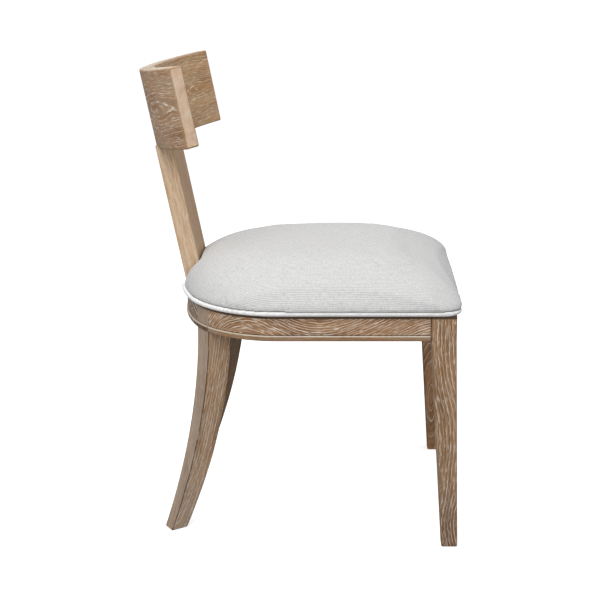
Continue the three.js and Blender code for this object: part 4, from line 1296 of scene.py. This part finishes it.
# A point may swell outwards up to the limit. The foam behind the cloth keeps it from drawing in.
after = np.array([vertex.co for vertex in pad.data.vertices])
swell = np.clip(np.sum((after - before) * outward, axis=1), 0, SWELL_LIMIT)
for vertex, first, way, far in zip(pad.data.vertices, before, outward, swell):
    vertex.co = first + way * far
finer = pad.modifiers.new("finer", "SUBSURF")
finer.levels = finer.render_levels = 1
cushion = add_object("seat_cushion_linen", plain_mesh(pad, "seat_cushion_linen"))
cushion.vertex_groups.clear()


def sewn_swell(place, normal):
    """How far sewing and sitting move a point of the cover outwards: dents, puckers along the seam, a ridge.

    The soft ridge stands where the side band turns into the crown: high along each side, low at the corners.
    """
    above_foot = place.z - CUSHION_FOOT
    dent_place = Vector((place.x * DENTS_PER_METRE, place.y * DENTS_PER_METRE, DENT_PATTERN))
    dent = noise.noise(dent_place) * min(1, above_foot / DENT_FADE)
    stretch = (PUCKERS_PER_METRE, PUCKERS_PER_METRE, PUCKERS_UPWARDS)
    pucker_place = Vector(along * count for along, count in zip(place, stretch))
    pucker = noise.noise(pucker_place) * max(0, 1 - above_foot / PUCKER_REACH) ** PUCKER_FADE
    swell = DENT_DEPTH * dent + PUCKER_DEPTH * pucker
    flat = abs(normal.x) + abs(normal.y)
    if flat < LEVEL_CLOTH or place.x < RIDGE_REAR_X:
        return swell
    sideways = abs(normal.y) / flat
    along = (sideways * (place.x - RIDGE_MIDDLE_X) + (1 - sideways) * place.y) / RIDGE_REACH
    crest_line = RIDGE_HEIGHT * max(0, 1 - along ** 2)
    fade = math.exp(-((above_foot - crest_line) / RIDGE_WIDTH) ** 2) * min(1, crest_line / RIDGE_FADE)
    return swell + RIDGE_SWELL * fade


def outline_slope(place):
    """The direction in plan in which a place moves away from the frame's outline fastest."""
    step = 0.0001
    return Vector((
        seat_offset(place.x + step, place.y, WELT_CORNER) - seat_offset(place.x - step, place.y, WELT_CORNER),
        seat_offset(place.x, place.y + step, WELT_CORNER) - seat_offset(place.x, place.y - step, WELT_CORNER),
        0,
    )).normalized()


# The foot is pressed round the welt, and the underside is lifted onto the board. The threads run straight
# over the crown and down the sides, so each side's drop adds to its own direction.
to_splat = raked.inverted()
least = WELT_RADIUS + SEAM_GAP
threads, seam_shade = [], []
for vertex, normal in [(vertex, vertex.normal.copy()) for vertex in cushion.data.vertices]:
    place = vertex.co.copy()
    if place.z > CUSHION_FOOT:
        place += normal * sewn_swell(place, normal)
    beside, above = seat_offset(place.x, place.y, WELT_CORNER) - WELT_OFFSET, place.z - WELT_HEIGHT
    apart = math.hypot(beside, above)
    if apart < least:
        push = least / max(apart, 0.0001)
        place += outline_slope(place) * beside * (push - 1)
        place.z = WELT_HEIGHT + max(above, 0) * push
    on_board = seat_offset(place.x, place.y, BOARD_CORNER - BOARD_OFFSET) < BOARD_OFFSET + BOARD_GAP
    if on_board and place.z < BOARD_TOP + BOARD_GAP:
        place.z = BOARD_TOP + BOARD_GAP
    vertex.co = place

    drop = max(0, CUSHION_FOOT + CUSHION_CROWN - place.z)
    level = max(normal.x ** 2 + normal.y ** 2, 1e-6)
    threads += [
        place.x + math.copysign(drop * normal.x ** 2 / level, normal.x),
        place.y + math.copysign(drop * normal.y ** 2 / level, normal.y),
        0,
    ]
    # The seam attribute is painted shade: full in the welt's crease and in the splat's notch, fading within
    # millimetres.
    by_splat = to_splat @ place
    clear = max(by_splat.x - SPLAT_THICKNESS, abs(by_splat.y) - half_width) - SPLAT_ROOM
    by_welt = 1 - max(0, apart - least) / SEAM_SHADE_WIDTH
    seam_shade.append(max(0, by_welt, 1 - max(0, clear) / SPLAT_SHADE_WIDTH))
cushion.data.attributes.new("weave", "FLOAT_VECTOR", "POINT").data.foreach_set("vector", threads)
cushion.data.attributes.new("seam", "FLOAT", "POINT").data.foreach_set("value", seam_shade)

cushion.data.materials.clear()
cushion.data.materials.append(woven_linen("woven_linen_seat", "#BABABA", "#D6D6D5", attribute="weave"))
cushion.data.shade_smooth()
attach(cushion, "root")
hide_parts("seat_cover", "foam_pad")

# Hem.
# The lower edge of the same linen, drawn down over the board's rim, turned under it and fastened there. It
# lies in the welt's shade, which is painted into its darker colour, so it is the darkest part of the cover.
HEM_BOTTOM = 0.4364
HEM_TOP = 0.4428
HEM_THICKNESS = 0.0015
HEM_TURN_UNDER = 0.018
HEM_OUT = 0.0002


def open_outline(offset):
    """The outline from one side of the splat round to the other."""
    start = math.asin((half_width + SPLAT_ROOM) / (REAR_ARC + offset))
    half = half_seat_outline(offset, WELT_CORNER + offset, start)
    return half + [(x, -y) for x, y in half[-2::-1]]


hem_inner = HEM_BOTTOM + HEM_THICKNESS
columns = [
    [(x, y, z) for x, y in open_outline(offset)]
    for offset, z in (
        (HEM_OUT, HEM_TOP), (HEM_OUT, HEM_BOTTOM),
        (-HEM_TURN_UNDER, HEM_BOTTOM), (-HEM_TURN_UNDER, hem_inner),
        (BOARD_OFFSET + BOARD_GAP, hem_inner), (BOARD_OFFSET + BOARD_GAP, HEM_TOP),
    )
]
# A darker copy of the seat's linen: painted shade.
shaded_hem_linen = woven_linen("woven_linen_hem_painted_shade", "#8E8C8A", "#A8A6A4")
hem = wooden_piece("seat_hem_linen", ringed_mesh("seat_hem", [list(ring) for ring in zip(*columns)]),
                   (shaded_hem_linen, shaded_hem_linen, shaded_hem_linen))
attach(hem, "root")

# Welt.
# A cord covered in the same linen, sewn round the foot of the cushion from one side of the splat to the
# other.
WELT_SPACING = 0.002
WELT_SIDES = 20

cord, given = shape_tree("cord_along_outline", {
    "Path": "Geometry", "Radius": "Float", "Spacing": "Float", "Sides": "Int", "Material": "Material",
})
line = add_node(cord, "GeometryNodeMeshToCurve", {0: given["Path"]})
stepped = add_node(cord, "GeometryNodeResampleCurve", {0: line, "Length": given["Spacing"]}, mode="LENGTH")
ring = add_node(cord, "GeometryNodeCurvePrimitiveCircle", {
    "Resolution": given["Sides"], "Radius": given["Radius"],
}, mode="RADIUS")
tube = add_node(cord, "GeometryNodeCurveToMesh", {"Curve": stepped, "Profile Curve": ring, "Fill Caps": True})
smooth = add_node(cord, "GeometryNodeSetShadeSmooth", {0: tube})
end_tree(cord, smooth, given["Material"])

path = [(x, y, WELT_HEIGHT) for x, y in open_outline(WELT_OFFSET)]
path_mesh = new_mesh("welt_path", path, edges=[(i, i + 1) for i in range(len(path) - 1)])
welt = add_object("seat_welt_linen", run_tree(cord, "seat_welt_linen", path_mesh, {
    "Radius": WELT_RADIUS, "Spacing": WELT_SPACING, "Sides": WELT_SIDES,
    # A near-white copy of the seat's linen: painted light for the shaded lower half of the cord.
    "Material": woven_linen("woven_linen_welt_painted_light", "#ECECEB", "#FFFFFF"),
}))
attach(welt, "root")
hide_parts("seat_welt")
